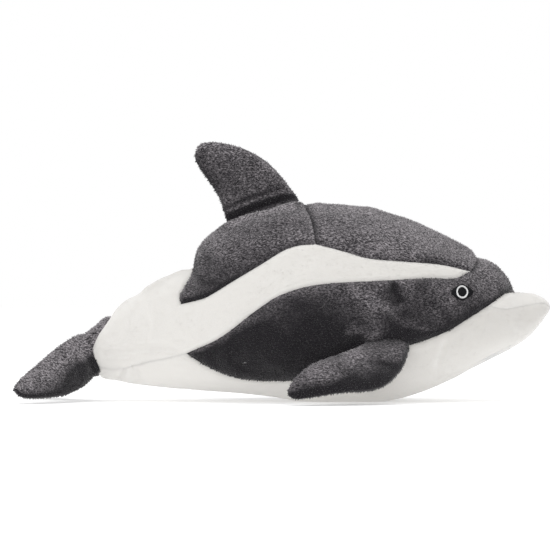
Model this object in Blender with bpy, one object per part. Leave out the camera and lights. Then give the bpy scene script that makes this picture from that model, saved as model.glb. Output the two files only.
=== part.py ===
"""A stuffed toy dolphin lying on its belly: sewn plush panels over a soft filling, a dorsal fin, two
flippers and a two-lobed tail fluke that are filled leaves sewn to the body, and embroidered eyes.

+X is the nose, +Y the animal's left, +Z up, and the belly rests on z = 0. Each panel of the body skin is
laid on one smooth body form between the seams that it shares with its neighbours."""

import bpy
import numpy as np
from mathutils import Vector
from mathutils.bvhtree import BVHTree

MM = 0.001

# Cloth and seams, in millimetres like every length below
FABRIC = 2.4
SEAM_GAP = 0.44
FILL_GAP = 0.5
FILL_HOLLOW = 2.6
PILLOW = 2.0
PILLOW_REACH = 6.0

# The whole body
BODY_WIDTH = 124.0
TAIL_END = -143.5
NOSE_END = 188.0
MIDDLE_X = 2.4
BEAK_FROM, BEAK_DRAWN_TO = 150.0, 188.0

# The three kinds of leaf
FIN_THICKNESS = 21.0
FLIPPER_THICKNESS = 17.0
FLIPPER_SPAN = 194.0
FLUKE_THICKNESS = 17.0
FLUKE_SPAN = 142.0

# The eyes
EYE_LENGTH = 15.6
EYE_HEIGHT = 10.6
EYE_RING = 8.4
EYE_RING_BAND = 1.4
EYE_PLACE = (125.4, 76.4)
GAP_ON_SKIN = 0.3
THREAD = 0.8

BODY_WALL = FABRIC + FILL_GAP


def drawn(points):
    """Points of the side view, with the beak from BEAK_FROM on stretched to end at NOSE_END."""
    stretch = (NOSE_END - BEAK_FROM) / (BEAK_DRAWN_TO - BEAK_FROM)
    return [(x + max(x - BEAK_FROM, 0) * (stretch - 1), value) for x, value in points]


# Height of the back, of the belly and of the widest point, and the share of the full width, along x
BACK = drawn([(TAIL_END, 39), (-142, 43), (-136, 48.5), (-119, 60.6), (-99, 75.2), (-71, 88.6),
              (-64, 92.4), (-61.5, 96), (-58, 107.4), (-50, 116.4), (-38.8, 124.4), (-21.8, 131.4),
              (2.3, 137), (20, 136.4), (48.7, 134.6), (83, 128), (104, 119.2), (121.4, 110.8),
              (131, 105.4), (135.6, 102), (143, 99.4), (150, 95.2), (157, 87.4), (163, 78.4),
              (168, 76.2), (176, 74.8), (183, 71.6), (187, 67.8), (BEAK_DRAWN_TO, 65.5)])
BELLY = drawn([(TAIL_END, 37), (-142, 32), (-137, 25), (-129, 16.6), (-113, 14), (-92, 11), (-57, 8),
               (-29, 6), (-6, 3.4), (12, 0.4), (30, -1.4), (60, -1.6), (76, 0.8), (97, 6.6),
               (121.4, 16.4), (149.4, 30), (163, 37), (172, 43), (179, 50.6), (184.4, 58.6), (187, 62.4),
               (BEAK_DRAWN_TO, 64.5)])
WIDEST = drawn([(TAIL_END, 38), (-119, 37), (-75, 45), (-20, 56), (40, 60), (100, 57.5), (150, 58),
                (175, 61.5), (BEAK_DRAWN_TO, 65)])
WIDTH = drawn([(TAIL_END, 0), (-142.6, 0.09), (-140, 0.16), (-134, 0.235), (-119, 0.32), (-90, 0.44),
               (-62, 0.6), (-35, 0.78), (0, 0.93), (40, 1), (62, 1), (85, 0.95), (110, 0.84),
               (130, 0.715), (148, 0.585), (158, 0.465), (165, 0.37), (174, 0.29), (181, 0.21),
               (185.6, 0.12), (187.5, 0.05), (BEAK_DRAWN_TO, 0)])
UPPER_ROUND = 2.05
LOWER_ROUND = 2.3
SPINE_FROM, SPINE_TO = -116.0, BEAK_FROM + 0.26 * (NOSE_END - BEAK_FROM)

# Seams as the side view shows them, x and height
CROSS_SEAM = [(16, 137), (19, 131.8), (21.6, 122.8), (23.2, 110.6)]
SADDLE_BACK = [(-61.6, 96), (-64.1, 88.9), (-68.3, 81.3), (-71.6, 74.3), (-70.4, 68.9)]
SADDLE_EDGE = [(-70.4, 68.9), (-62.9, 70.6), (-52.6, 73.4), (-35.4, 83.7), (-16.6, 95.1), (0, 105.4),
               (11, 109.4), (23.2, 110.6)]
CAPE_EDGE = [(23.2, 110.6), (42.8, 105.5), (60, 100.6), (85.3, 98.4), (110, 96.6), (129.4, 92)]
CAPE_FRONT = [(129.4, 92), (133.2, 96.4), (135.6, 102)]
FACE_FRONT = drawn([(163.4, 77.8), (157, 76.4), (150, 71.8), (143.4, 67.4)])
SIDE_TOP = [(-66.4, 33.4), (-42.2, 45.4), (-16.5, 65.1), (0.6, 75.4), (26.3, 82.2), (72.6, 85.1),
            (103, 86.8), (119, 86.6), (129.4, 92)]
SIDE_LOW_REAR = [(-66.4, 33.4), (-50.9, 23.3), (-32, 15.8), (-8, 13.4), (19.5, 15.6), (44, 27), (71, 37.4),
                 (88, 39.8), (100, 43.2)]
SIDE_LOW_FRONT = [(100, 43.2), (115.6, 49.8), (128, 57.4), (143.4, 67.4)]
FACE_CUT = [(129.4, 92), (119, 70), (100, 43.2)]
MOUTH = drawn([(143.4, 67.4), (154.8, 64.8), (172, 67.6), (183, 68.4), (BEAK_DRAWN_TO, 65)])
FLANK_SEAM = [(-131.1, 23.5), (-113.8, 22.5), (-94.5, 27.3), (-66.4, 33.4)]
FLANK_CUT = [(-70.4, 68.9), (-69, 52), (-66.4, 33.4)]
RING_UPPER = [(-131.1, 23.5), (-133.4, 30), (-132.4, 37), (-127.6, 49), (-119.4, 60.4)]
RING_LOWER = [(-131.1, 23.5), (-130.2, 19.6), (-128.2, 16.6)]

# Steps along the seams: even, so that the filling can take every other one
ROUND_CAPE, ALONG_SADDLE, ALONG_CAPE, DOWN_TAIL, ALONG_TAIL = 6, 12, 14, 4, 8
OVER_FACE, DOWN_FACE, HALF_BELLY = 4, 6, 6

# Creases that the filling and the sewing leave in the skin: points, depth and width
CREASES = [
    ([(112, 40), (110, 33), (108, 25), (109, 18)], 1.6, 5.0),
    ([(62, 81), (66, 74), (75, 68)], 1.8, 6.0),
    ([(-66, 34), (-80, 38), (-100, 37), (-122, 33)], 0.9, 4.0),
    ([(-110, 22), (-113, 16)], 1.2, 3.5),
    ([(-122, 58), (-129, 50), (-134, 42)], 1.0, 2.6),
    ([(-52, 112), (-50, 100), (-52, 88)], 1.2, 6.0),
    ([(-20, 118), (-4, 122), (12, 124)], 0.9, 6.0),
]

# Leaf edges from inside the body to the tip, right side: x, y as a share of the half span, height
FIN_LEAD = [(14, 128), (10.8, 140), (6, 146.8), (-1, 155.6), (-9.4, 164.4), (-18.6, 171.6), (-29.1, 177.2),
            (-42, 180.6), (-52, 181), (-57.4, 179), (-60, 174.6)]
FIN_TRAIL = [(-34, 114), (-38.4, 126), (-40.4, 133.7), (-44.6, 144.2), (-50.2, 152.8), (-55.2, 160),
             (-59.2, 166.4), (-60.6, 171), (-60, 174.6)]
FLIPPER_LEAD = [(89, 0.42, 46), (87.1, 0.57, 38.4), (83.4, 0.68, 27.5), (77.6, 0.76, 19.6), (70, 0.835, 13.7),
                (59.7, 0.89, 10.5), (46, 0.94, 9.6), (32.5, 0.97, 8), (19, 0.99, 5.7), (8.9, 1, 4.8),
                (4.6, 1, 7)]
FLIPPER_TRAIL = [(57, 0.46, 43), (52.2, 0.6, 36.9), (43.2, 0.68, 34.4), (32.8, 0.77, 31.2), (22.5, 0.855, 28),
                 (14.4, 0.91, 23.4), (8.3, 0.95, 17.4), (4.2, 0.99, 10.8), (4.6, 1, 7)]
FLUKE_LEAD = [(-116, 0.05, 25), (-128.5, 0.2, 18.6), (-136.2, 0.36, 11.3), (-144.6, 0.5, 6.8),
              (-152.3, 0.64, 5.1), (-161.9, 0.78, 4.4), (-171.7, 0.9, 4.2), (-178.1, 0.97, 5.8),
              (-182.1, 1, 10.6)]
FLUKE_TRAIL = [(-128, 0.02, 44), (-140.8, 0.07, 47.7), (-148.6, 0.2, 45.1), (-157, 0.35, 39),
               (-165.2, 0.52, 31.6), (-172.7, 0.69, 24.4), (-178.7, 0.86, 17.9), (-182.1, 1, 10.6)]
ACROSS_LEAF, ALONG_LEAF = 8, 8
LEAF_EASE = 0.55


def eased(points, at):
    """Values at the given places of a curve through the points that never overshoots them."""
    x, v = np.array(points, float).T
    step = np.diff(x)
    slope = np.diff(v) / step
    both = slope[:-1] * slope[1:] > 0
    safe = np.where(both, slope[:-1], 1), np.where(both, slope[1:], 1)
    one, two = 2 * step[1:] + step[:-1], step[1:] + 2 * step[:-1]
    inner = np.where(both, (one + two) / (one / safe[0] + two / safe[1]), 0)
    rise = np.concatenate([slope[:1], inner, slope[-1:]])
    at = np.clip(at, x[0], x[-1])
    i = np.clip(np.searchsorted(x, at, side="right") - 1, 0, len(x) - 2)
    t = (at - x[i]) / step[i]
    hold = (1 + 2 * t) * (1 - t) ** 2 * v[i] + t * t * (3 - 2 * t) * v[i + 1]
    return hold + step[i] * (t * (1 - t) ** 2 * rise[i] - t * t * (1 - t) * rise[i + 1])


def smooth_line(points, count=160):
    """A smooth curve through points of any dimension, as many close points."""
    points = np.array(points, float)
    ahead = np.concatenate([2 * points[:1] - points[1:2], points, 2 * points[-1:] - points[-2:-1]])
    found = []
    for i in range(len(points) - 1):
        a, b, c, d = ahead[i : i + 4]
        t = np.linspace(0, 1, count // (len(points) - 1) + 2)[:-1, None]
        swing = (2 * a - 5 * b + 4 * c - d) * t * t + (3 * b - a - 3 * c + d) * t**3
        found.append(b + 0.5 * ((c - a) * t + swing))
    return np.concatenate(found + [points[-1:]])


def spread(line, steps):
    """The line cut into steps of one length."""
    run = np.concatenate([[0], np.cumsum(np.linalg.norm(np.diff(line, axis=0), axis=1))])
    at = np.linspace(0, run[-1], steps + 1)
    return np.stack([np.interp(at, run, line[:, k]) for k in range(line.shape[1])], axis=1)


def body_form(x):
    """Half width, height of the widest point, of the back and of the belly at x."""
    return (
        np.maximum(eased(WIDTH, x), 1e-4) * BODY_WIDTH / 2,
        eased(WIDEST, x),
        eased(BACK, x),
        eased(BELLY, x),
    )


def fullness(points):
    """Below 1 inside the body form, 1 on it and more outside."""
    x, y, z = points.T
    half, mid, back, belly = body_form(x)
    up = z > mid
    reach = np.maximum(np.where(up, back - mid, mid - belly), 1e-3)
    power = np.where(up, UPPER_ROUND, LOWER_ROUND)
    beyond = np.maximum(TAIL_END - x, 0) + np.maximum(x - NOSE_END, 0)
    return (abs(y) / half) ** power + (abs(z - mid) / reach) ** power + beyond


def on_body(points):
    """Each point moved to the body form, straight out from the spine."""
    flat = points.reshape(-1, 3)
    start = np.zeros_like(flat)
    start[:, 0] = np.clip(flat[:, 0], SPINE_FROM, SPINE_TO)
    start[:, 2] = eased(WIDEST, start[:, 0])
    way = flat - start
    way /= np.maximum(np.linalg.norm(way, axis=1), 1e-6)[:, None]
    near, far = np.zeros(len(flat)), np.full(len(flat), 130.0)
    for _ in range(40):
        half = (near + far) / 2
        out = fullness(start + way * half[:, None]) > 1
        near, far = np.where(out, near, half), np.where(out, half, far)
    return (start + way * near[:, None]).reshape(points.shape)


def outward(points):
    """The unit normals of the body form."""
    flat = points.reshape(-1, 3)
    grow = []
    for step in np.eye(3) * 0.4:
        grow.append(fullness(flat + step) - fullness(flat - step))
    grow = np.stack(grow, axis=1)
    return (grow / np.linalg.norm(grow, axis=1)[:, None]).reshape(points.shape)


def side_line(points):
    """A line drawn on the side view, laid on the right side of the body form."""
    x, z = smooth_line(points).T
    half, mid, back, belly = body_form(x)
    up = z > mid
    share = np.clip(np.where(up, (z - mid) / (back - mid), (mid - z) / (mid - belly)), 0, 1)
    power = np.where(up, UPPER_ROUND, LOWER_ROUND)
    y = -half * (1 - share**power) ** (1 / power)
    return np.stack([x, y, z], axis=1)


def seam(points, steps, start=None, end=None):
    """A seam on the right side; start and end name the ends that lie on the middle plane."""
    line = side_line(points)
    if start:
        line[0] = [points[0][0], 0, eased(start, points[0][0])]
    if end:
        line[-1] = [points[-1][0], 0, eased(end, points[-1][0])]
    return on_body(spread(line, steps))


def middle_seam(profile, start, end, steps):
    """A seam along the middle plane."""
    x = np.linspace(start, end, 200)
    return on_body(spread(np.stack([x, 0 * x, eased(profile, x)], axis=1), steps))


def mirrored(points):
    return points * [1, -1, 1]


def across(right):
    """A line from the middle plane to the right joined to its mirror image: left to right."""
    return np.concatenate([mirrored(right)[::-1], right[1:]])


def patch(low, high, left, right, lean=(0, 0, 0)):
    """A grid of points between four seams, laid on the body form; left runs from low to high."""
    u = np.linspace(0, 1, len(low))[None, :, None]
    v = np.linspace(0, 1, len(left))[:, None, None]
    grid = (1 - v) * low[None] + v * high[None] + (1 - u) * left[:, None] + u * right[:, None]
    grid -= (1 - v) * ((1 - u) * low[0] + u * low[-1]) + v * ((1 - u) * high[0] + u * high[-1])
    laid = on_body(grid + np.array(lean) * 16 * u * (1 - u) * v * (1 - v))
    laid[0], laid[-1], laid[:, 0], laid[:, -1] = low, high, left, right
    facing = np.cross(laid[:-1, 1:] - laid[:-1, :-1], laid[1:, :-1] - laid[:-1, :-1])
    return laid if (facing * outward(laid[:-1, :-1])).sum() > 0 else laid[:, ::-1]


def wrapped(edge, rear):
    """A grid round the underside, from a seam on the right to its mirror image; rear is its first line."""
    start = np.zeros_like(edge)
    start[:, 0] = np.clip(edge[:, 0], SPINE_FROM, SPINE_TO)
    start[:, 2] = eased(WIDEST, start[:, 0])
    off = edge - start
    radius, turn = np.hypot(off[:, 1], off[:, 2]), np.arctan2(-off[:, 1], -off[:, 2])
    share = np.linspace(1, -1, len(rear))[:, None]
    grid = start + np.stack([0 * share + off[:, 0], -radius * np.sin(turn * share),
                             -radius * np.cos(turn * share)], axis=2)
    fade = np.clip(1 - np.arange(len(edge)) / 8, 0, 1)[None, :, None] ** 2
    laid = on_body(on_body(grid) + fade * (rear[:, None] - on_body(grid)[:, :1]))
    laid[:, 0], laid[0], laid[-1], laid[:, -1] = rear, edge, mirrored(edge), edge[-1]
    facing = np.cross(laid[:-1, 1:] - laid[:-1, :-1], laid[1:, :-1] - laid[:-1, :-1])
    return laid if (facing * outward(laid[:-1, :-1])).sum() > 0 else laid[:, ::-1]


def sewn(grids):
    """The grids as one set of points and faces; points that meet become one."""
    points, faces, start = [], [], 0
    for grid in grids:
        rows, cols = grid.shape[:2]
        index = start + np.arange(rows * cols).reshape(rows, cols)
        corners = index[:-1, :-1], index[:-1, 1:], index[1:, 1:], index[1:, :-1]
        faces.append(np.stack([c.ravel() for c in corners], axis=1))
        points.append(grid.reshape(-1, 3))
        start += rows * cols
    points = np.concatenate(points)
    keys = np.round(points / 0.02).astype(int)
    _, first, index = np.unique(keys, axis=0, return_index=True, return_inverse=True)
    index = index.reshape(-1)
    faces = [tuple(dict.fromkeys(int(index[i]) for i in face)) for face in np.concatenate(faces)]
    return points[first], [face for face in faces if len(face) > 2]


def edge_loop(faces):
    """The open edges in face order, as start and end points."""
    edges = {(a, b) for face in faces for a, b in zip(face, face[1:] + face[:1])}
    return np.array([(a, b) for a, b in sorted(edges) if (b, a) not in edges])


def distance(points, starts, ends):
    """How far each point lies from the nearest of the straight lines."""
    best = np.full(len(points), 1e9)
    for a, b in zip(starts, ends):
        along = b - a
        t = np.clip((points - a) @ along / max(along @ along, 1e-9), 0, 1)
        best = np.minimum(best, np.linalg.norm(points - a - t[:, None] * along, axis=1))
    return best


def crease_depth(points, widened=1.0):
    """How deep the creases are at each point, on both sides of the body."""
    right = points * [1, 0, 1] - abs(points) * [0, 1, 0]
    depth = np.zeros(len(points))
    for line, deep, wide in CREASES:
        drawn = spread(side_line(line), 6)
        depth += deep * np.exp(-((distance(right, drawn[:-1], drawn[1:]) / wide / widened) ** 2) * 2)
    return depth


def pillow(points, faces):
    """How far the filled skin stands off the body form: none at the seams."""
    loop = edge_loop(faces)
    far = distance(points, points[loop[:, 0]], points[loop[:, 1]])
    rise = PILLOW * (1 - np.exp(-far / PILLOW_REACH))
    return rise - crease_depth(points) * (1 - np.exp(-far / 3))


def pulled_in(points, faces, normals, gap):
    """The points with those on the open edge drawn in by half the gap between two panels."""
    loop = edge_loop(faces)
    after, before = dict(loop.tolist()), {b: a for a, b in loop.tolist()}
    moved = points.copy()
    for i in after:
        last, here, following = points[before[i]], points[i], points[after[i]]
        one = np.cross(normals[i], here - last)
        two = np.cross(normals[i], following - here)
        one, two = one / np.linalg.norm(one), two / np.linalg.norm(two)
        way = one + two
        turn = max(np.linalg.norm(way) / 2, 0.26)
        moved[i] = here + way / max(np.linalg.norm(way), 1e-6) * (gap / 2) / turn
    return moved


def on_floor(points, least=0.0):
    """The points with none lower than the floor, where the belly lies flat."""
    lifted = points.copy()
    lifted[:, 2] = np.maximum(lifted[:, 2], least)
    return lifted


def shell(outer, inner, faces):
    """A closed skin from its outer and inner points."""
    count = len(outer)
    made = list(faces) + turned([tuple(i + count for i in face) for face in faces])
    # Both panels at a seam split their edge strips the same way, by which end is further back
    for a, b in edge_loop(faces).tolist():
        if outer[a][0] < outer[b][0]:
            made += [(b, a, b + count), (a, a + count, b + count)]
        else:
            made += [(b, a, a + count), (b, a + count, b + count)]
    return np.concatenate([outer, inner]), made


def material(name, colour, rough):
    made = bpy.data.materials.new(name)
    made.use_nodes = True
    shader = made.node_tree.nodes["Principled BSDF"]
    shader.inputs["Base Color"].default_value = (*colour, 1)
    shader.inputs["Roughness"].default_value = rough
    shader.inputs["Metallic"].default_value = 0
    return made


def add(name, points, faces, finish):
    mesh = bpy.data.meshes.new(name)
    mesh.from_pydata(((points - [MIDDLE_X, 0, 0]) * MM).tolist(), [], faces)
    mesh.materials.append(material(name, *finish))
    made = bpy.data.objects.new(name, mesh)
    bpy.context.scene.collection.objects.link(made)
    return made


def turned(faces):
    """The faces turned over; each keeps its first point, so that it splits along the same diagonal."""
    return [face[:1] + face[:0:-1] for face in faces]


skin_points, skin_faces, fill_grids = [], [], []


def body_panel(name, grids, finish, both=False):
    """A panel of the body skin, and its mirror image where there are two."""
    points, faces = sewn(grids)
    normals = outward(points)
    rise = pillow(points, faces)[:, None]
    edge = pulled_in(points, faces, normals, SEAM_GAP)
    outer = on_floor(edge + normals * rise)
    inner = on_floor(edge + normals * (rise - FABRIC), FABRIC)
    body = shell(outer, inner, faces)
    hollow = FILL_HOLLOW * np.exp(-(distance(points, *step_line) / 11) ** 2)[:, None]
    hollow += 1.2 * crease_depth(points, 2.0)[:, None]
    fill = on_floor(points + normals * (rise - BODY_WALL - hollow), BODY_WALL)
    found = {tuple(key): place for key, place in zip(np.round(points / 0.02).astype(int).tolist(), fill)}
    for grid in grids:
        half = grid[::2, ::2]
        keys = np.round(half.reshape(-1, 3) / 0.02).astype(int).tolist()
        laid = np.array([found[tuple(key)] for key in keys]).reshape(half.shape)
        fill_grids.append(laid)
        if both:
            fill_grids.append(mirrored(laid)[:, ::-1])
    sides = [("_right", body[0], body[1])] if both else [("", body[0], body[1])]
    if both:
        sides.append(("_left", mirrored(body[0]), turned(body[1])))
    for side, placed, facing in sides:
        add(name + side, placed, facing, finish)
        skin_faces.extend(tuple(i + sum(map(len, skin_points)) for i in face) for face in facing)
        skin_points.append(placed)


def leaf_point(lead, trail, thickness, along, chord, depth):
    """A point of a leaf: along it from root to tip, across it from edge to edge, depth as a function."""
    a, b = lead(along), trail(along)
    middle = a + (b - a) * chord[:, None]
    side = np.cross(b - a, lead(along + 0.02) + trail(along + 0.02) - a - b)
    side /= np.linalg.norm(side, axis=1)[:, None]
    full = np.sqrt(np.clip(1 - (2 * chord - 1) ** 2, 0, 1))
    taper = np.clip(1 - along, 0, 1) ** 0.34 * (0.85 + 0.15 * np.cos(along * 3))
    return middle + side * depth(thickness / 2 * full**0.9 * taper, full)[:, None]


def line_at(points):
    """A smooth line as a function of the share of its length."""
    line = spread(smooth_line(points, 240), 200)
    at = np.linspace(0, 1, 201)
    return lambda t: np.stack([np.interp(t, at, line[:, k]) for k in range(3)], axis=1)


def trimmed(tree, place, chords, gap):
    """For each line across the leaf, how far from its root it first clears the body skin."""
    steps = np.linspace(0.97, 0.0, 98)
    found = []
    for chord in chords:

        def room(along):
            point = place(np.array([along]), np.array([chord]))[0]
            near, normal, _, far = tree.find_nearest(Vector(point))
            inside = (Vector(point) - near).dot(normal) < 0
            return (-far if inside else far) - gap

        last = steps[0]
        for step in steps:
            if room(step) < 0:
                break
            last = step
        low, high = max(last - 0.0101, 0), last
        for _ in range(16):
            half = (low + high) / 2
            low, high = (low, half) if room(half) > 0 else (half, high)
        found.append(high)
    return np.array(found)


def leaf(name, halves, lead, trail, thickness, finish, tree, root=0.0, side=0.0, both=False):
    """A filled leaf: two panels sewn along the edge, and the filling between them."""
    chords = 0.5 - 0.5 * np.cos(np.linspace(0, np.pi, ACROSS_LEAF + 1))
    middle = SEAM_GAP / 2
    sheets = {
        "outer": lambda h, full: np.maximum(h, middle + FABRIC * (0.25 + 0.6 * full)),
        "inner": lambda h, full: np.maximum(h - FABRIC, middle),
        "fill": lambda h, full: np.maximum(h - BODY_WALL - LEAF_EASE, 0.15),
    }
    made, starts = {}, {}
    across_leaf = 0.004 + 0.992 * chords
    share = np.linspace(0, 1, ALONG_LEAF + 1) ** 0.9

    def sheet(kind, sign):
        return lambda along, chord: leaf_point(
            lead, trail, thickness, along, chord, lambda h, full: sign * sheets[kind](h, full))

    for kind in ("outer", "inner"):
        for sign in (1, -1):
            starts[kind, sign] = trimmed(tree, sheet(kind, sign), across_leaf, SEAM_GAP + root)
    # The filling starts where both panels do, and stays short of the edges and the tip
    begin = np.maximum(starts["inner", 1], starts["inner", -1])
    for kind, columns, rows in (("outer", slice(None), None), ("inner", slice(None), None),
                                ("fill", slice(2, -2), -3)):
        for sign in (1, -1):
            start = starts.get((kind, sign), begin + FILL_GAP / np.linalg.norm(lead([1]) - lead([0])))
            lines = (start[:, None] + (0.995 - start[:, None]) * share)[columns, :rows]
            grid = np.stack([sheet(kind, sign)(line, np.full(len(line), chord))
                             for line, chord in zip(lines, across_leaf[columns])])
            if side:
                grid[..., 1] = np.minimum(grid[..., 1], -side)
            made[kind, sign] = grid
    pieces = [(name + half, made["outer", sign], made["inner", sign], finish)
              for sign, half in zip((1, -1), halves)]
    pieces.append((name + "_filling", made["fill", 1], made["fill", -1], FILLING))
    for title, one, two, look in pieces:
        points, facing = shell(one.reshape(-1, 3), two.reshape(-1, 3), grid_faces(one))
        facing = facing if volume(points, facing) > 0 else turned(facing)
        add(title.replace("*", "right"), points, facing, look)
        if both:
            add(title.replace("*", "left"), mirrored(points), turned(facing), look)


def grid_faces(grid):
    rows, cols = grid.shape[:2]
    index = np.arange(rows * cols).reshape(rows, cols)
    corners = index[:-1, :-1], index[:-1, 1:], index[1:, 1:], index[1:, :-1]
    return [tuple(int(i) for i in face) for face in np.stack([c.ravel() for c in corners], axis=1)]


def volume(points, faces):
    return sum(np.dot(points[f[0]], np.cross(points[f[i]], points[f[i + 1]]))
               for f in faces for i in range(1, len(f) - 1))


def stitched(name, scales, outline, lift, thickness, tree, finish):
    """Flat stitching on both sides of the face, between scaled copies of an outline."""
    rings = np.array([outline * scale + EYE_PLACE for scale in scales])
    flat, faces = sewn([np.insert(rings, 1, 0, axis=2)])
    base, normals = [], []
    for x, _, z in flat:
        hit, normal, _, _ = tree.ray_cast(Vector((x, -300, z)), Vector((0, 1, 0)))
        base.append(hit)
        normals.append(normal)
    base, normals = np.array(base), np.array(normals)
    points, facing = shell(base + normals * (lift + thickness), base + normals * lift, faces)
    facing = facing if volume(points, facing) > 0 else turned(facing)
    add(name + "_right", points, facing, finish)
    add(name + "_left", mirrored(points), turned(facing), finish)


for old in list(bpy.data.objects):
    bpy.data.objects.remove(old, do_unlink=True)

GREY = ((0.105, 0.098, 0.107), 0.95)
WHITE = ((0.79, 0.78, 0.76), 0.95)
BLACK = ((0.012, 0.012, 0.014), 0.6)
PALE = ((0.85, 0.85, 0.85), 0.6)
FILLING = ((0.88, 0.88, 0.86), 0.95)

# Seams of the right side, each shared by the panels on its two sides
ring_upper = seam(RING_UPPER, ROUND_CAPE + DOWN_TAIL, end=BACK)
ring_lower = seam(RING_LOWER, HALF_BELLY, end=BELLY)
ridge = middle_seam(BACK, RING_UPPER[-1][0], SADDLE_BACK[0][0], ALONG_TAIL)
saddle_back = seam(SADDLE_BACK, ROUND_CAPE, start=BACK)
saddle_top = middle_seam(BACK, SADDLE_BACK[0][0], CROSS_SEAM[0][0], ALONG_SADDLE)
saddle_edge = seam(SADDLE_EDGE, ALONG_SADDLE)
cross_seam = seam(CROSS_SEAM, ROUND_CAPE, start=BACK)
cape_edge = seam(CAPE_EDGE, ALONG_CAPE)
cape_front = seam(CAPE_FRONT, ROUND_CAPE, end=BACK)
forehead = middle_seam(BACK, CAPE_FRONT[-1][0], FACE_FRONT[0][0], OVER_FACE)
face_front = seam(FACE_FRONT, DOWN_FACE, start=BACK)
side_top = seam(SIDE_TOP, ALONG_SADDLE + ALONG_CAPE)
side_low_rear = seam(SIDE_LOW_REAR, ALONG_SADDLE + ALONG_CAPE)
side_low_front = seam(SIDE_LOW_FRONT, ROUND_CAPE + OVER_FACE)
face_cut = seam(FACE_CUT, DOWN_FACE)
mouth = seam(MOUTH, DOWN_FACE, end=BACK)
flank_seam = seam(FLANK_SEAM, ALONG_TAIL)
flank_cut = seam(FLANK_CUT, DOWN_TAIL)

# Seams meet in points that they share exactly
saddle_tip, side_tip, cape_tip = saddle_back[-1], side_low_rear[0], cape_front[0]
nose = on_body(np.array([[NOSE_END + 5, 0, eased(WIDEST, NOSE_END)]]))[0]
for line, first, last in (
    (ring_upper, ring_lower[0], ridge[0]), (saddle_back, ridge[-1], saddle_tip),
    (saddle_top, ridge[-1], cross_seam[0]), (saddle_edge, saddle_tip, cross_seam[-1]),
    (cape_edge, cross_seam[-1], cape_tip), (forehead, cape_front[-1], face_front[0]),
    (side_top, side_tip, cape_tip), (face_front, face_front[0], side_low_front[-1]),
    (side_low_front, side_low_rear[-1], side_low_front[-1]), (face_cut, cape_tip, side_low_rear[-1]),
    (mouth, side_low_front[-1], nose), (flank_seam, ring_lower[0], side_tip),
    (flank_cut, saddle_tip, side_tip),
):
    line[0], line[-1] = first, last

# The filling keeps clear of the step behind the saddle and of the one above the beak
steps = [np.concatenate([mirrored(line)[::-1], line]) for line in (saddle_back, face_front)]
step_line = np.concatenate([line[:-1] for line in steps]), np.concatenate([line[1:] for line in steps])

# Cape over the back, in one piece
body_panel("cape", [patch(mirrored(cape_edge)[::1], cape_edge, across(cross_seam), across(cape_front[::-1]))],
           GREY)

# Saddle under the fin, two pieces that meet along the back
body_panel("saddle", [patch(saddle_top, saddle_edge, saddle_back, cross_seam)], GREY, both=True)

# Flank: the white side of the tail and the white stripe along the body, one piece
tail_side = patch(ridge, flank_seam, ring_upper[::-1], np.concatenate([saddle_back, flank_cut[1:]]))
stripe = patch(np.concatenate([saddle_edge, cape_edge[1:]]), side_top, flank_cut,
               np.repeat(cape_tip[None], DOWN_TAIL + 1, axis=0))
body_panel("flank", [tail_side, stripe], WHITE, both=True)

# Side panel: the dark side of the body, the face and half of the forehead
side = patch(side_top, side_low_rear, np.repeat(side_tip[None], DOWN_FACE + 1, axis=0), face_cut)
face = patch(np.concatenate([cape_front, forehead[1:]]), side_low_front, face_cut, face_front)
body_panel("side_panel", [side, face], GREY, both=True)

# Belly with the chin, in one piece
belly_edge = np.concatenate([flank_seam, side_low_rear[1:], side_low_front[1:], mouth[1:]])
body_panel("belly", [wrapped(belly_edge, across(ring_lower[::-1])[::-1])], WHITE)

# Top of the beak
body_panel("upper_beak", [patch(mouth, mirrored(face_front), face_front[::-1], mirrored(mouth)[::-1])],
           WHITE)

# Tail cap that closes the tail between the fluke lobes
half_ring = np.concatenate([ring_upper[::-1], ring_lower[1:]])
ring = np.concatenate([half_ring, mirrored(half_ring)[::-1][1:-1]])
corner = len(ring) // 8
top, bottom = ring[np.arange(-corner, corner + 1)], ring[np.arange(5 * corner, 3 * corner - 1, -1)]
body_panel("tail_cap", [patch(top, bottom, ring[np.arange(7 * corner, 5 * corner - 1, -1)],
                              ring[corner : 3 * corner + 1], lean=(-12, 0, 0))], GREY)

# Body filling
points, faces = sewn(fill_grids)
add("body_filling", points, faces if volume(points, faces) > 0 else turned(faces), FILLING)

skin = BVHTree.FromPolygons(np.concatenate(skin_points).tolist(), skin_faces)


def flat_edge(points):
    return line_at([(x, 0, z) for x, z in points])


def spread_edge(points, span):
    return line_at([(x, -share * span / 2, z) for x, share, z in points])


# Dorsal fin between the saddle pieces
leaf("fin", ("_left", "_right"), flat_edge(FIN_LEAD), flat_edge(FIN_TRAIL), FIN_THICKNESS, GREY, skin)

# Flippers on the seams between side panels and belly
leaf("flipper_*", ("_upper", "_lower"), spread_edge(FLIPPER_LEAD, FLIPPER_SPAN),
     spread_edge(FLIPPER_TRAIL, FLIPPER_SPAN), FLIPPER_THICKNESS, GREY, skin, both=True)

# Fluke lobes on both sides of the tail cap
leaf("fluke_*", ("_upper", "_lower"), spread_edge(FLUKE_LEAD, FLUKE_SPAN),
     spread_edge(FLUKE_TRAIL, FLUKE_SPAN), FLUKE_THICKNESS, GREY, skin, root=0.6, side=0.25, both=True)

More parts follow.
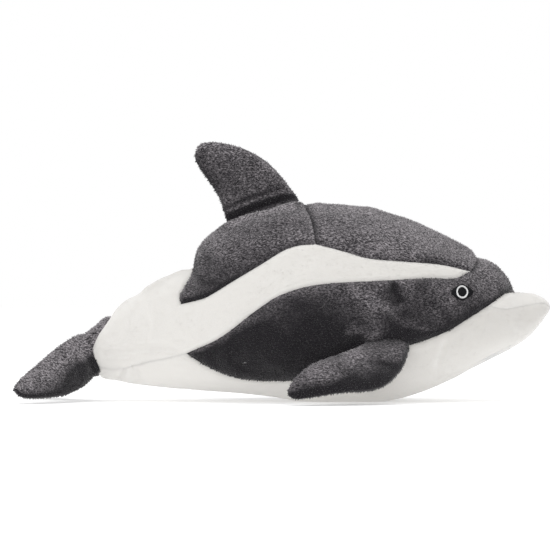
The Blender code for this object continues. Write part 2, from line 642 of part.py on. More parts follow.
# Eyes: a pointed black patch and a white ring stitched on it
corners = np.linspace(0, 2 * np.pi, 25)
pointed = np.stack([np.sign(np.cos(corners)) * abs(np.cos(corners)) ** 1.5 * EYE_LENGTH / 2,
                    np.sign(np.sin(corners)) * abs(np.sin(corners)) ** 1.5 * EYE_HEIGHT / 2], axis=1)
round_ = np.stack([np.cos(corners), np.sin(corners)], axis=1) * EYE_RING / 2
stitched("eye_patch", [0, 0.5, 1], pointed, GAP_ON_SKIN, THREAD, skin, BLACK)
stitched("eye_ring", [1 - 2 * EYE_RING_BAND / EYE_RING, 1], round_, 2 * GAP_ON_SKIN + THREAD, THREAD, skin, PALE)
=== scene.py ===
"""The looks of a stuffed toy dolphin: plush panels with their pile, swollen by the filling and drawn in
along the seams, filled fins with folds at their roots, and embroidered eyes.

Lengths are in millimetres on the toy's own side view and turn into metres when a mesh is made. The
studio is in metres."""

import bpy
import numpy as np
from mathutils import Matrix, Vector
from mathutils.bvhtree import BVHTree
from mathutils.kdtree import KDTree


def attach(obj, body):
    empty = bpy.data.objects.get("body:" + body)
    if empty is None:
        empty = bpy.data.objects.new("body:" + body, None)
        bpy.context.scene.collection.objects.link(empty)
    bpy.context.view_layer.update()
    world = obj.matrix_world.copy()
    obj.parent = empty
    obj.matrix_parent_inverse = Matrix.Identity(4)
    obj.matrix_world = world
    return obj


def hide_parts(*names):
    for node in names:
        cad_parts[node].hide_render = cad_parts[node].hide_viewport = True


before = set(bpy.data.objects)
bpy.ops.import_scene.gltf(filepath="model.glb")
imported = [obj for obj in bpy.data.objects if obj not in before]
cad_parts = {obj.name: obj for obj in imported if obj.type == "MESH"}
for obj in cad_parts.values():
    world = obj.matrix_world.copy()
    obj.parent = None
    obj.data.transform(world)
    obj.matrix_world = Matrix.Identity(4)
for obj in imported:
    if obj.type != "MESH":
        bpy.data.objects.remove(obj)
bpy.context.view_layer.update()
scene = bpy.context.scene
scene.view_settings.view_transform = "Standard"


# Studio: a wide white floor with a faint glow of its own, even light from all round, three large soft
# lamps, and a camera level with the middle of the toy, straight at its right side.
PICTURE_WIDTH, CAMERA_AWAY = 0.385, 2.5
CAMERA_SPOT = (-0.00695, -CAMERA_AWAY, 0.0882)
FLOOR_RADIUS = 7.0
FLOOR_COLOUR = (0.86, 0.86, 0.86, 1)
FLOOR_GLOW = 0.3
AROUND_LIGHT = 0.84
LAMPS = {  # place, aim, size and watts
    "lamp_over": ((0.15, -0.3, 1.5), (0, 0, 0.05), 1.3, 9.0),
    "lamp_front": ((-1.3, -1.4, 0.6), (0, 0, 0.08), 1.3, 6.0),
    "lamp_back": ((-0.6, 1.7, 1.0), (0, 0, 0.08), 1.3, 3.0),
}


def link(tree, *pairs):
    """Joins each pair of sockets."""
    for a, b in pairs:
        tree.links.new(a, b)


def seen_mask(tree):
    """1 for the rays that carry the background to the picture, straight or by a shiny surface."""
    path = tree.nodes.new("ShaderNodeLightPath")
    first, both = (tree.nodes.new("ShaderNodeMath") for _ in range(2))
    first.operation = both.operation = "MAXIMUM"
    link(tree, (path.outputs["Is Camera Ray"], first.inputs[0]),
         (path.outputs["Is Glossy Ray"], first.inputs[1]), (first.outputs[0], both.inputs[0]),
         (path.outputs["Is Transmission Ray"], both.inputs[1]))
    return both.outputs[0]


world = bpy.data.worlds.new("studio")
world.use_nodes = True
scene.world = world
sky = world.node_tree
lights = sky.nodes["Background"]
lights.inputs["Strength"].default_value = AROUND_LIGHT
lights.inputs["Color"].default_value = (1, 1, 1, 1)
shown = sky.nodes.new("ShaderNodeBackground")
shown.inputs["Color"].default_value = (1, 1, 1, 1)
chosen = sky.nodes.new("ShaderNodeMixShader")
link(sky, (seen_mask(sky), chosen.inputs[0]), (lights.outputs[0], chosen.inputs[1]),
     (shown.outputs[0], chosen.inputs[2]), (chosen.outputs[0], sky.nodes["World Output"].inputs[0]))

floor_finish = bpy.data.materials.new("studio_floor")
floor_finish.use_nodes = True
floor_nodes = floor_finish.node_tree
floor_shader = floor_nodes.nodes["Principled BSDF"]
floor_shader.inputs["Base Color"].default_value = FLOOR_COLOUR
floor_shader.inputs["Roughness"].default_value = 1
floor_shader.inputs["Specular IOR Level"].default_value = 0
floor_shader.inputs["Emission Color"].default_value = (1, 1, 1, 1)
floor_shader.inputs["Emission Strength"].default_value = FLOOR_GLOW
turns = np.linspace(0, 2 * np.pi, 65)[:-1]
floor_mesh = bpy.data.meshes.new("studio_floor")
floor_mesh.from_pydata([(FLOOR_RADIUS * np.cos(t), FLOOR_RADIUS * np.sin(t), 0) for t in turns], [],
                       [tuple(range(len(turns)))])
floor_mesh.materials.append(floor_finish)
floor = bpy.data.objects.new("studio_floor", floor_mesh)
scene.collection.objects.link(floor)

for name, (spot, aim, size, power) in LAMPS.items():
    lamp = bpy.data.lights.new(name, "AREA")
    lamp.size, lamp.energy = size, power
    holder = bpy.data.objects.new(name, lamp)
    holder.location = spot
    holder.rotation_euler = (Vector(aim) - Vector(spot)).to_track_quat("-Z", "Y").to_euler()
    scene.collection.objects.link(holder)

camera_data = bpy.data.cameras.new("camera")
camera_data.sensor_width = 36
camera_data.lens = 36 * CAMERA_AWAY / PICTURE_WIDTH
camera = bpy.data.objects.new("camera", camera_data)
camera.location = CAMERA_SPOT
camera.rotation_euler = (np.pi / 2, 0, 0)
scene.collection.objects.link(camera)
scene.camera = camera


# Body skin: ten plush panels sewn inside out and turned, dark over the back, the saddle, the sides and
# the tail's end, white on the stripe, the belly and the beak. The filling swells each panel between its
# seams, and the seams draw it in.
MM = 0.001
MIDDLE_X = 2.4
FABRIC = 2.4
SEAM_GAP = 0.1
PILLOW = 1.5
PILLOW_REACH = 6.0
PILE_ROOM = 1.2
SEAM_DIP = 1.0
SEAM_DIP_REACH = 1.7
BODY_WIDTH = 124.0
TAIL_END, NOSE_END = -143.5, 188.0
SPINE_FROM, SPINE_TO = -116.0, 160.0
SPINE_REACH, SPINE_HALVINGS = 130.0, 30
PROBE = 0.4
UPPER_ROUND, LOWER_ROUND = 2.05, 2.3
WELD = 0.02
SHARPEST_TURN = 0.26
NOSE_AHEAD = 5
TAIL_LEAN = (-12, 0, 0)

# Height of the back, of the belly and of the widest point, and the share of the full width, along x
BACK = [(TAIL_END, 39), (-142, 43), (-136, 48.5), (-119, 60.6), (-99, 75.2), (-71, 88.6), (-64, 92.4),
        (-61.5, 96), (-58, 107.4), (-50, 116.4), (-38.8, 124.4), (-21.8, 131.4), (2.3, 137), (20, 136.4),
        (48.7, 134.6), (83, 128), (104, 119.2), (121.4, 110.8), (132.6, 105), (137.4, 101.6), (144, 98.9),
        (150, 95.2), (157, 87.4), (163, 78.4), (168, 76.2), (176, 74.8), (183, 71.6), (187, 67.8),
        (NOSE_END, 65.5)]
BELLY = [(TAIL_END, 37), (-142, 32), (-137, 25), (-129, 16.6), (-113, 14), (-92, 11), (-57, 8),
         (-29, 6), (-6, 3.4), (12, 0.4), (30, -1.4), (60, -1.6), (76, 0.8), (97, 6.6), (121.4, 17.2),
         (136, 25.2), (149.4, 32.2), (163, 39), (172, 45), (179, 52), (184.4, 59), (187, 62.6),
         (NOSE_END, 64.5)]
WIDEST = [(TAIL_END, 38), (-119, 37), (-75, 45), (-20, 56), (40, 60), (100, 57.5), (150, 58), (175, 61.5),
          (NOSE_END, 65)]
WIDTH = [(TAIL_END, 0), (-142.6, 0.09), (-140, 0.16), (-134, 0.235), (-119, 0.32), (-90, 0.44), (-62, 0.6),
         (-35, 0.78), (0, 0.93), (40, 1), (62, 1), (85, 0.95), (110, 0.84), (130, 0.715), (148, 0.585),
         (158, 0.465), (165, 0.37), (174, 0.29), (181, 0.21), (185.6, 0.12), (187.5, 0.05), (NOSE_END, 0)]

# Seams as the side view shows them, x and height
CROSS_SEAM = [(16, 137), (19, 131.8), (21.6, 122.8), (23.2, 110.6)]
SADDLE_BACK = [(-61.6, 96), (-64.1, 88.9), (-68.3, 81.3), (-71.6, 74.3), (-70.4, 68.9)]
SADDLE_EDGE = [(-70.4, 68.9), (-62.9, 70.6), (-52.6, 73.4), (-35.4, 83.7), (-16.6, 95.1), (0, 105.4),
               (11, 109.4), (23.2, 110.6)]
CAPE_EDGE = [(23.2, 110.6), (42.8, 105.5), (60, 100.6), (85.3, 98.4), (110, 96.6), (131.6, 92)]
CAPE_FRONT = [(131.6, 92), (135.2, 96.4), (137.4, 101.6)]
FACE_FRONT = [(163.4, 77.8), (157, 76.4), (150, 71.8), (143.4, 67.4)]
SIDE_TOP = [(-66.4, 33.4), (-42.2, 45.4), (-16.5, 65.1), (0.6, 75.4), (26.3, 82.2), (72.6, 85.1),
            (103, 86.8), (120, 86.8), (131.6, 92)]
SIDE_LOW_REAR = [(-66.4, 33.4), (-50.9, 23.3), (-32, 15.8), (-8, 13.4), (19.5, 15.6), (44, 27), (71, 37.4),
                 (88, 39.8), (100, 43.2)]
SIDE_LOW_FRONT = [(100, 43.2), (115.6, 49.8), (128, 57.4), (143.4, 67.4)]
FACE_CUT = [(131.6, 92), (119, 70), (100, 43.2)]
MOUTH = [(143.4, 67.4), (154.8, 64.8), (172, 67.6), (183, 68.4), (NOSE_END, 65)]
FLANK_SEAM = [(-133.2, 25.5), (-113.8, 22.5), (-94.5, 27.3), (-66.4, 33.4)]
FLANK_CUT = [(-70.4, 68.9), (-69, 52), (-66.4, 33.4)]
RING_UPPER = [(-133.2, 25.5), (-133.4, 31), (-132.3, 37), (-127.6, 49), (-119.4, 60.4)]
RING_LOWER = [(-133.2, 25.5), (-131.6, 21), (-128.2, 16.6)]

# Steps along the seams; the cloth run uses every second point of them, and the belly's grid blends into
# the tail's end over the last count of them
COARSE = 3
FINE = 2
TAIL_BLEND = 8
ROUND_CAPE, ALONG_SADDLE, ALONG_CAPE, DOWN_TAIL, ALONG_TAIL, OVER_FACE, DOWN_FACE, HALF_BELLY = (
    steps * COARSE * FINE for steps in (6, 12, 14, 4, 8, 4, 6, 6))

# Folds and dimples in the skin as the side view shows them: points, depth, width; a ridge is below zero
CREASES = [
    ([(112, 40), (110, 33), (108, 25), (109, 18)], 1.9, 4.2),
    ([(62, 81), (66, 74), (75, 68)], 0.6, 5.5),
    ([(76.5, 83), (77.5, 76), (80.5, 69)], 1.7, 3.4),
    ([(48, 76), (58, 68), (70, 63)], -0.8, 6.0),
    ([(-66, 34), (-80, 38), (-100, 37), (-122, 33)], 1.1, 3.6),
    ([(-110, 22), (-113, 16)], 1.6, 3.0),
    ([(-104, 24), (-100, 19), (-99, 14)], 0.9, 3.0),
    ([(-122, 58), (-129, 50), (-134, 42)], 1.2, 2.4),
    ([(-131, 46), (-136, 38), (-134, 29)], 0.9, 2.2),
    ([(-52, 112), (-50, 100), (-52, 88)], 0.6, 5.5),
    ([(-20, 118), (-4, 122), (12, 124)], 0.5, 5.0),
    ([(-60, 88), (-55, 82), (-44, 82)], 0.8, 3.6),
    ([(40, 122), (52, 116), (60, 106)], 0.4, 6.0),
    ([(28, 30), (40, 38), (56, 46)], 0.9, 5.0),
    ([(-30, 22), (-20, 34), (-14, 48)], 0.7, 7.0),
    ([(0, 20), (10, 32), (12, 44)], 0.7, 6.0),
    ([(-96, 66), (-92, 54), (-94, 44)], 0.7, 5.5),
    ([(-20, 60), (0, 84), (20, 96)], 0.5, 5.0),
    ([(148, 62), (158, 55), (164, 46)], 0.6, 4.0),
    ([(-92, 78), (-80, 85), (-70, 91)], -2.8, 8.0),
    ([(-124, 56), (-116, 63), (-108, 69)], -1.6, 8.0),
    ([(30, 135.4), (45, 134.4), (60, 132)], -2.4, 15.0),
    ([(-38, 122.5), (-20, 129.5), (-2, 134), (8, 135.2)], -1.3, 2.2),
    ([(48, 48), (56, 46), (62, 44)], -1.4, 6.0),
]


def eased(points, at):
    """Values at the given places of a curve through the points that never overshoots them."""
    x, v = np.array(points, float).T
    step = np.diff(x)
    slope = np.diff(v) / step
    both = slope[:-1] * slope[1:] > 0
    safe = np.where(both, slope[:-1], 1), np.where(both, slope[1:], 1)
    one, two = 2 * step[1:] + step[:-1], step[1:] + 2 * step[:-1]
    inner = np.where(both, (one + two) / (one / safe[0] + two / safe[1]), 0)
    rise = np.concatenate([slope[:1], inner, slope[-1:]])
    at = np.clip(at, x[0], x[-1])
    i = np.clip(np.searchsorted(x, at, side="right") - 1, 0, len(x) - 2)
    t = (at - x[i]) / step[i]
    hold = (1 + 2 * t) * (1 - t) ** 2 * v[i] + t * t * (3 - 2 * t) * v[i + 1]
    return hold + step[i] * (t * (1 - t) ** 2 * rise[i] - t * t * (1 - t) * rise[i + 1])


def smooth_line(points, count=400):
    """A smooth curve through points of any dimension, as many close points."""
    points = np.array(points, float)
    ahead = np.concatenate([2 * points[:1] - points[1:2], points, 2 * points[-1:] - points[-2:-1]])
    found = []
    for i in range(len(points) - 1):
        a, b, c, d = ahead[i : i + 4]
        t = np.linspace(0, 1, count // (len(points) - 1) + 2)[:-1, None]
        swing = (2 * a - 5 * b + 4 * c - d) * t * t + (3 * b - a - 3 * c + d) * t**3
        found.append(b + 0.5 * ((c - a) * t + swing))
    return np.concatenate(found + [points[-1:]])


def spread(line, steps):
    """The line cut into steps of one length."""
    run = np.concatenate([[0], np.cumsum(np.linalg.norm(np.diff(line, axis=0), axis=1))])
    at = np.linspace(0, run[-1], steps + 1)
    return np.stack([np.interp(at, run, line[:, k]) for k in range(line.shape[1])], axis=1)


def body_form(x):
    """Half width, height of the widest point, of the back and of the belly at x."""
    half = np.maximum(eased(WIDTH, x), 1e-4) * BODY_WIDTH / 2
    return half, eased(WIDEST, x), eased(BACK, x), eased(BELLY, x)


def fullness(points):
    """Below 1 inside the body form, 1 on it and more outside."""
    x, y, z = points.T
    half, mid, back, belly = body_form(x)
    up = z > mid
    reach = np.maximum(np.where(up, back - mid, mid - belly), 1e-3)
    power = np.where(up, UPPER_ROUND, LOWER_ROUND)
    beyond = np.maximum(TAIL_END - x, 0) + np.maximum(x - NOSE_END, 0)
    return (abs(y) / half) ** power + (abs(z - mid) / reach) ** power + beyond


def on_body(points):
    """Each point moved to the body form, straight out from the spine."""
    flat = points.reshape(-1, 3)
    start = np.zeros_like(flat)
    start[:, 0] = np.clip(flat[:, 0], SPINE_FROM, SPINE_TO)
    start[:, 2] = eased(WIDEST, start[:, 0])
    way = flat - start
    way /= np.maximum(np.linalg.norm(way, axis=1), 1e-6)[:, None]
    near, far = np.zeros(len(flat)), np.full(len(flat), SPINE_REACH)
    for _ in range(SPINE_HALVINGS):
        half = (near + far) / 2
        out = fullness(start + way * half[:, None]) > 1
        near, far = np.where(out, near, half), np.where(out, half, far)
    return (start + way * near[:, None]).reshape(points.shape)


def outward(points):
    """The unit normals of the body form."""
    flat = points.reshape(-1, 3)
    grow = np.stack([fullness(flat + step) - fullness(flat - step) for step in np.eye(3) * PROBE], axis=1)
    return (grow / np.linalg.norm(grow, axis=1)[:, None]).reshape(points.shape)


def side_line(points):
    """A line drawn on the side view, laid on the right side of the body form."""
    x, z = smooth_line(points).T
    half, mid, back, belly = body_form(x)
    up = z > mid
    share = np.clip(np.where(up, (z - mid) / (back - mid), (mid - z) / (mid - belly)), 0, 1)
    power = np.where(up, UPPER_ROUND, LOWER_ROUND)
    return np.stack([x, -half * (1 - share**power) ** (1 / power), z], axis=1)


def seam(points, steps, start=None, end=None):
    """A seam on the right side; start and end name the ends that lie on the middle plane."""
    line = side_line(points)
    if start:
        line[0] = [points[0][0], 0, eased(start, points[0][0])]
    if end:
        line[-1] = [points[-1][0], 0, eased(end, points[-1][0])]
    return on_body(spread(line, steps))


def middle_seam(profile, start, end, steps):
    """A seam along the middle plane."""
    x = np.linspace(start, end, 400)
    return on_body(spread(np.stack([x, 0 * x, eased(profile, x)], axis=1), steps))


def mirrored(points):
    """The points on the other side of the toy."""
    return points * [1, -1, 1]


def across(right):
    """A line from the middle plane to the right joined to its mirror image: left to right."""
    return np.concatenate([mirrored(right)[::-1], right[1:]])


def faced(grid):
    """The grid with its columns in the order that makes its faces look outwards."""
    facing = np.cross(grid[:-1, 1:] - grid[:-1, :-1], grid[1:, :-1] - grid[:-1, :-1])
    return grid if (facing * outward(grid[:-1, :-1])).sum() > 0 else grid[:, ::-1]


def patch(low, high, left, right, lean=(0, 0, 0)):
    """A grid of points between four seams, laid on the body form; left runs from low to high. Its middle
    leans the given way."""
    u = np.linspace(0, 1, len(low))[None, :, None]
    v = np.linspace(0, 1, len(left))[:, None, None]
    grid = (1 - v) * low[None] + v * high[None] + (1 - u) * left[:, None] + u * right[:, None]
    grid -= (1 - v) * ((1 - u) * low[0] + u * low[-1]) + v * ((1 - u) * high[0] + u * high[-1])
    laid = on_body(grid + np.array(lean) * 16 * u * (1 - u) * v * (1 - v))
    laid[0], laid[-1], laid[:, 0], laid[:, -1] = low, high, left, right
    return faced(laid)


def wrapped(edge, rear):
    """A grid round the underside, from a seam on the right to its mirror image; rear is its first line."""
    start = np.zeros_like(edge)
    start[:, 0] = np.clip(edge[:, 0], SPINE_FROM, SPINE_TO)
    start[:, 2] = eased(WIDEST, start[:, 0])
    off = edge - start
    radius, turn = np.hypot(off[:, 1], off[:, 2]), np.arctan2(-off[:, 1], -off[:, 2])
    share = np.linspace(1, -1, len(rear))[:, None]
    grid = start + np.stack([0 * share + off[:, 0], -radius * np.sin(turn * share),
                             -radius * np.cos(turn * share)], axis=2)
    blended = np.arange(len(edge)) / (TAIL_BLEND * COARSE * FINE)
    fade = np.clip(1 - blended, 0, 1)[None, :, None] ** 2
    grid = on_body(grid)
    laid = on_body(grid + fade * (rear[:, None] - grid[:, :1]))
    laid[:, 0], laid[0], laid[-1], laid[:, -1] = rear, edge, mirrored(edge), edge[-1]
    return faced(laid)


def grid_faces(grid):
    """The four corners of every face of a grid."""
    rows, cols = grid.shape[:2]
    index = np.arange(rows * cols).reshape(rows, cols)
    corners = index[:-1, :-1], index[:-1, 1:], index[1:, 1:], index[1:, :-1]
    return np.stack([c.ravel() for c in corners], axis=1)


def welded(points):
    """Where each point lies in steps of WELD, which is the same for points that meet."""
    return np.round(points / WELD).astype(int)


def sewn(grids):
    """The grids as one set of points and faces; points that meet become one."""
    points, faces, start = [], [], 0
    for grid in grids:
        faces.append(start + grid_faces(grid))
        points.append(grid.reshape(-1, 3))
        start += len(points[-1])
    points = np.concatenate(points)
    _, first, index = np.unique(welded(points), axis=0, return_index=True, return_inverse=True)
    faces = index.reshape(-1)[np.concatenate(faces)].tolist()
    faces = [tuple(dict.fromkeys(face)) for face in faces]
    return points[first], [face for face in faces if len(face) > 2]


def edge_loop(faces):
    """The open edges in face order, as start and end points."""
    edges = {(a, b) for face in faces for a, b in zip(face, face[1:] + face[:1])}
    return np.array([(a, b) for a, b in sorted(edges) if (b, a) not in edges])


def distance(points, starts, ends):
    """How far each point lies from the nearest of the straight lines."""
    best = np.full(len(points), 1e9)
    for a, b in zip(starts, ends):
        along = b - a
        t = np.clip((points - a) @ along / max(along @ along, 1e-9), 0, 1)
        best = np.minimum(best, np.linalg.norm(points - a - t[:, None] * along, axis=1))
    return best


def crease_depth(points):
    """How deep the folds are at each point, on both sides of the body."""
    right = points * [1, 0, 1] - abs(points) * [0, 1, 0]
    depth = np.zeros(len(points))
    for line, deep, wide in CREASES:
        drawn = spread(side_line(line), 12)
        depth += deep * np.exp(-((distance(right, drawn[:-1], drawn[1:]) / wide) ** 2) * 2)
    return depth


def pulled_in(points, loop, normals, gap):
    """The points with those on the open edge drawn in by half the gap between two panels."""
    after, before = dict(loop.tolist()), {b: a for a, b in loop.tolist()}
    moved = points.copy()
    for i in after:
        last, here, following = points[before[i]], points[i], points[after[i]]
        one = np.cross(normals[i], here - last)
        two = np.cross(normals[i], following - here)
        one, two = one / np.linalg.norm(one), two / np.linalg.norm(two)
        way = one + two
        turn = max(np.linalg.norm(way) / 2, SHARPEST_TURN)
        moved[i] = here + way / max(np.linalg.norm(way), 1e-6) * (gap / 2) / turn
    return moved


def shell(outer, inner, faces):
    """A closed skin from its outer and inner points; the outer faces come first."""
    count = len(outer)
    made = list(faces) + [tuple(i + count for i in face[::-1]) for face in faces]
    made += [(b, a, a + count, b + count) for a, b in edge_loop(faces).tolist()]
    return np.concatenate([outer, inner]), made


def sockets(group, in_out, **kinds):
    """Gives a node group its sockets, by title and kind."""
    for title, kind in kinds.items():
        group.interface.new_socket(title, in_out=in_out, socket_type="NodeSocket" + kind)


def colour_input(group, title, colour):
    """A colour that a material sets on the node group."""
    socket = group.interface.new_socket(title, in_out="INPUT", socket_type="NodeSocketColor")
    socket.default_value = (*colour, 1)


def value_input(group, title, value):
    """A number that a material sets on the node group."""
    socket = group.interface.new_socket(title, in_out="INPUT", socket_type="NodeSocketFloat")
    socket.default_value = value


def node(tree, kind, **settings):
    """A new node with its settings."""
    made = tree.nodes.new(kind)
    for title, value in settings.items():
        setattr(made, title, value)
    return made


def maths(tree, operation, a, b=0.0, c=0.0):
    """A math node on sockets or plain numbers; returns its result."""
    made = node(tree, "ShaderNodeMath", operation=operation)
    for socket, value in zip(made.inputs, (a, b, c)):
        if isinstance(value, bpy.types.NodeSocket):
            tree.links.new(value, socket)
        else:
            socket.default_value = value
    return made.outputs[0]


def noise(tree, place, size, detail, rough=0.5):
    """Noise whose patches are about as large as size, in millimetres."""
    made = node(tree, "ShaderNodeTexNoise")
    made.inputs["Scale"].default_value = 1 / (size * MM)
    made.inputs["Detail"].default_value = detail
    made.inputs["Roughness"].default_value = rough
    tree.links.new(place, made.inputs["Vector"])
    return made.outputs["Fac"]


def mixed(tree, share, a, b):
    """The colours a and b, mixed."""
    made = node(tree, "ShaderNodeMix", data_type="RGBA")
    for socket, value in ((made.inputs[0], share), (made.inputs[6], a), (made.inputs[7], b)):
        tree.links.new(value, socket)
    return made.outputs[2]


# Short plush pile: painted shade darkens it between the hairs and painted light brightens its tips;
# brushed into soft patches
HAIR_SIZE, CLUMP_SIZE, BRUSHED_SIZE = 0.55, 1.0, 17
HAIR_STRETCH = (0.55, 1, 1)
plush = bpy.data.node_groups.new("plush_pile", "ShaderNodeTree")
colour_input(plush, "Hair Colour", (0.5, 0.5, 0.5))
colour_input(plush, "Shaded Root Colour", (0.2, 0.2, 0.2))
for title, value in (("Tip", 0), ("Tuft", 0.5), ("Open", 0), ("Least Open", 0.3), ("Ground", 0.3),
                     ("Clump Contrast", 1), ("Tuft Contrast", 1), ("Speckle", 1), ("Brushed", 0.5),
                     ("Open To Light", 0.4)):
    value_input(plush, title, value)
sockets(plush, "OUTPUT", Colour="Color", Roughness="Float", Height="Float")
given = node(plush, "NodeGroupInput")
place = node(plush, "ShaderNodeTexCoord").outputs["Object"]
lengthways = node(plush, "ShaderNodeMapping")
lengthways.inputs["Scale"].default_value = HAIR_STRETCH
link(plush, (place, lengthways.inputs["Vector"]))
hairs = noise(plush, lengthways.outputs["Vector"], HAIR_SIZE, 2)
clumps = noise(plush, lengthways.outputs["Vector"], CLUMP_SIZE, 2, 0.6)
brushed = noise(plush, place, BRUSHED_SIZE, 3, 0.55)
shown_hair = maths(plush, "MULTIPLY_ADD", maths(plush, "SUBTRACT", clumps, 0.5),
                   given.outputs["Clump Contrast"], given.outputs["Ground"])
shown_hair = maths(plush, "MULTIPLY_ADD", maths(plush, "SUBTRACT", hairs, 0.5), 0.6, shown_hair)
shown_hair = maths(plush, "MAXIMUM", shown_hair, given.outputs["Tip"])
varied = maths(plush, "MULTIPLY_ADD", maths(plush, "SUBTRACT", given.outputs["Tuft"], 0.5),
               given.outputs["Tuft Contrast"], 1)
varied = maths(plush, "MULTIPLY_ADD", maths(plush, "SUBTRACT", brushed, 0.5),
               given.outputs["Brushed"], varied)
varied = maths(plush, "MULTIPLY_ADD", maths(plush, "SUBTRACT", clumps, 0.5),
               given.outputs["Speckle"], varied)
# Painted light and shade: the mesh's open value, which holds painted light and shade, scales how bright
# the pile is
painted_light_share = maths(plush, "MULTIPLY_ADD", maths(plush, "MINIMUM", given.outputs["Open"], 1.1),
               given.outputs["Open To Light"], given.outputs["Least Open"])
shown_hair = maths(plush, "MULTIPLY", shown_hair, maths(plush, "MULTIPLY", varied, painted_light_share))
limited = node(plush, "ShaderNodeClamp")
link(plush, (shown_hair, limited.inputs["Value"]))
results = node(plush, "NodeGroupOutput")
link(plush,
     (mixed(plush, limited.outputs[0], given.outputs["Shaded Root Colour"], given.outputs["Hair Colour"]),
      results.inputs["Colour"]),
     (maths(plush, "MULTIPLY_ADD", limited.outputs[0], -0.12, 1.0), results.inputs["Roughness"]),
     (maths(plush, "MULTIPLY_ADD", hairs, 0.4, clumps), results.inputs["Height"]))


def finish_for(slot):
    """A new material for one of the toy's material slots, which it keeps the name of."""
    made = bpy.data.materials.new("look_of_" + slot)
    made.use_nodes = True
    made["slot"] = slot
    return made


def plush_finish(slot, hair, root, sheen, bump_strength, **looks):
    """A material of plush, its roots darkened by painted shade. The mesh says how near the tip a point is,
    which tuft it is on, and how much painted light or shade the pile takes there."""
    made = finish_for(slot)
    tree = made.node_tree
    shader = tree.nodes["Principled BSDF"]
    shader.inputs["Specular IOR Level"].default_value = 0.2
    shader.inputs["Sheen Weight"].default_value = sheen
    shader.inputs["Sheen Roughness"].default_value = 0.5
    pile = node(tree, "ShaderNodeGroup", node_tree=plush)
    pile.inputs["Hair Colour"].default_value = (*hair, 1)
    pile.inputs["Shaded Root Colour"].default_value = (*root, 1)
    for title, value in looks.items():
        pile.inputs[title.replace("_", " ")].default_value = value
    bump = node(tree, "ShaderNodeBump")
    bump.inputs["Strength"].default_value = bump_strength
    bump.inputs["Distance"].default_value = 0.7 * MM
    # The mesh's open value holds painted light and shade
    for title in ("Tip", "Tuft", "Open"):
        attribute = node(tree, "ShaderNodeAttribute", attribute_name=title.lower())
        link(tree, (attribute.outputs["Fac"], pile.inputs[title]))
    link(tree, (pile.outputs["Colour"], shader.inputs["Base Color"]),
         (pile.outputs["Roughness"], shader.inputs["Roughness"]),
         (pile.outputs["Height"], bump.inputs["Height"]),
         (bump.outputs["Normal"], shader.inputs["Normal"]))
    return made


# The root colours of both plush finishes are painted shade between the hairs; Open To Light sets how much
# painted light and shade they take from the mesh
DARK = plush_finish("plush_dark", (0.365, 0.338, 0.356), (0.009, 0.0075, 0.010), sheen=0.36,
                    bump_strength=0.6, Ground=0.25, Tuft_Contrast=1.4, Speckle=6.5, Brushed=1.3,
                    Least_Open=0.3, Open_To_Light=1.15)
WHITE = plush_finish("plush_white", (0.725, 0.71, 0.685), (0.565, 0.55, 0.525), sheen=0.1,
                     bump_strength=0.05, Ground=0.92, Clump_Contrast=0.1, Tuft_Contrast=0.05,
                     Speckle=0.05, Brushed=0.05, Least_Open=0.82, Open_To_Light=-0.5)
for title, value in (("Subsurface Weight", 0.7), ("Subsurface Radius", (1, 1, 1)),
                     ("Subsurface Scale", 2 * MM)):
    WHITE.node_tree.nodes["Principled BSDF"].inputs[title].default_value = value

# Seams of the right side, each shared by the panels on its two sides
ring_upper = seam(RING_UPPER, ROUND_CAPE + DOWN_TAIL, end=BACK)
ring_lower = seam(RING_LOWER, HALF_BELLY, end=BELLY)
ridge = middle_seam(BACK, RING_UPPER[-1][0], SADDLE_BACK[0][0], ALONG_TAIL)
saddle_back = seam(SADDLE_BACK, ROUND_CAPE, start=BACK)
saddle_top = middle_seam(BACK, SADDLE_BACK[0][0], CROSS_SEAM[0][0], ALONG_SADDLE)
saddle_edge = seam(SADDLE_EDGE, ALONG_SADDLE)
cross_seam = seam(CROSS_SEAM, ROUND_CAPE, start=BACK)
cape_edge = seam(CAPE_EDGE, ALONG_CAPE)
cape_front = seam(CAPE_FRONT, ROUND_CAPE, end=BACK)
forehead = middle_seam(BACK, CAPE_FRONT[-1][0], FACE_FRONT[0][0], OVER_FACE)
face_front = seam(FACE_FRONT, DOWN_FACE, start=BACK)
side_top = seam(SIDE_TOP, ALONG_SADDLE + ALONG_CAPE)
side_low_rear = seam(SIDE_LOW_REAR, ALONG_SADDLE + ALONG_CAPE)
side_low_front = seam(SIDE_LOW_FRONT, ROUND_CAPE + OVER_FACE)
face_cut = seam(FACE_CUT, DOWN_FACE)
mouth = seam(MOUTH, DOWN_FACE, end=BACK)
flank_seam = seam(FLANK_SEAM, ALONG_TAIL)
flank_cut = seam(FLANK_CUT, DOWN_TAIL)

# Seams meet in points that they share exactly
saddle_tip, side_tip, cape_tip = saddle_back[-1], side_low_rear[0], cape_front[0]
nose = on_body(np.array([[NOSE_END + NOSE_AHEAD, 0, eased(WIDEST, NOSE_END)]]))[0]
for line, first, last in (
    (ring_upper, ring_lower[0], ridge[0]), (saddle_back, ridge[-1], saddle_tip),
    (saddle_top, ridge[-1], cross_seam[0]), (saddle_edge, saddle_tip, cross_seam[-1]),
    (cape_edge, cross_seam[-1], cape_tip), (forehead, cape_front[-1], face_front[0]),
    (side_top, side_tip, cape_tip), (face_front, face_front[0], side_low_front[-1]),
    (side_low_front, side_low_rear[-1], side_low_front[-1]), (face_cut, cape_tip, side_low_rear[-1]),
    (mouth, side_low_front[-1], nose), (flank_seam, ring_lower[0], side_tip),
    (flank_cut, saddle_tip, side_tip),
):
    line[0], line[-1] = first, last

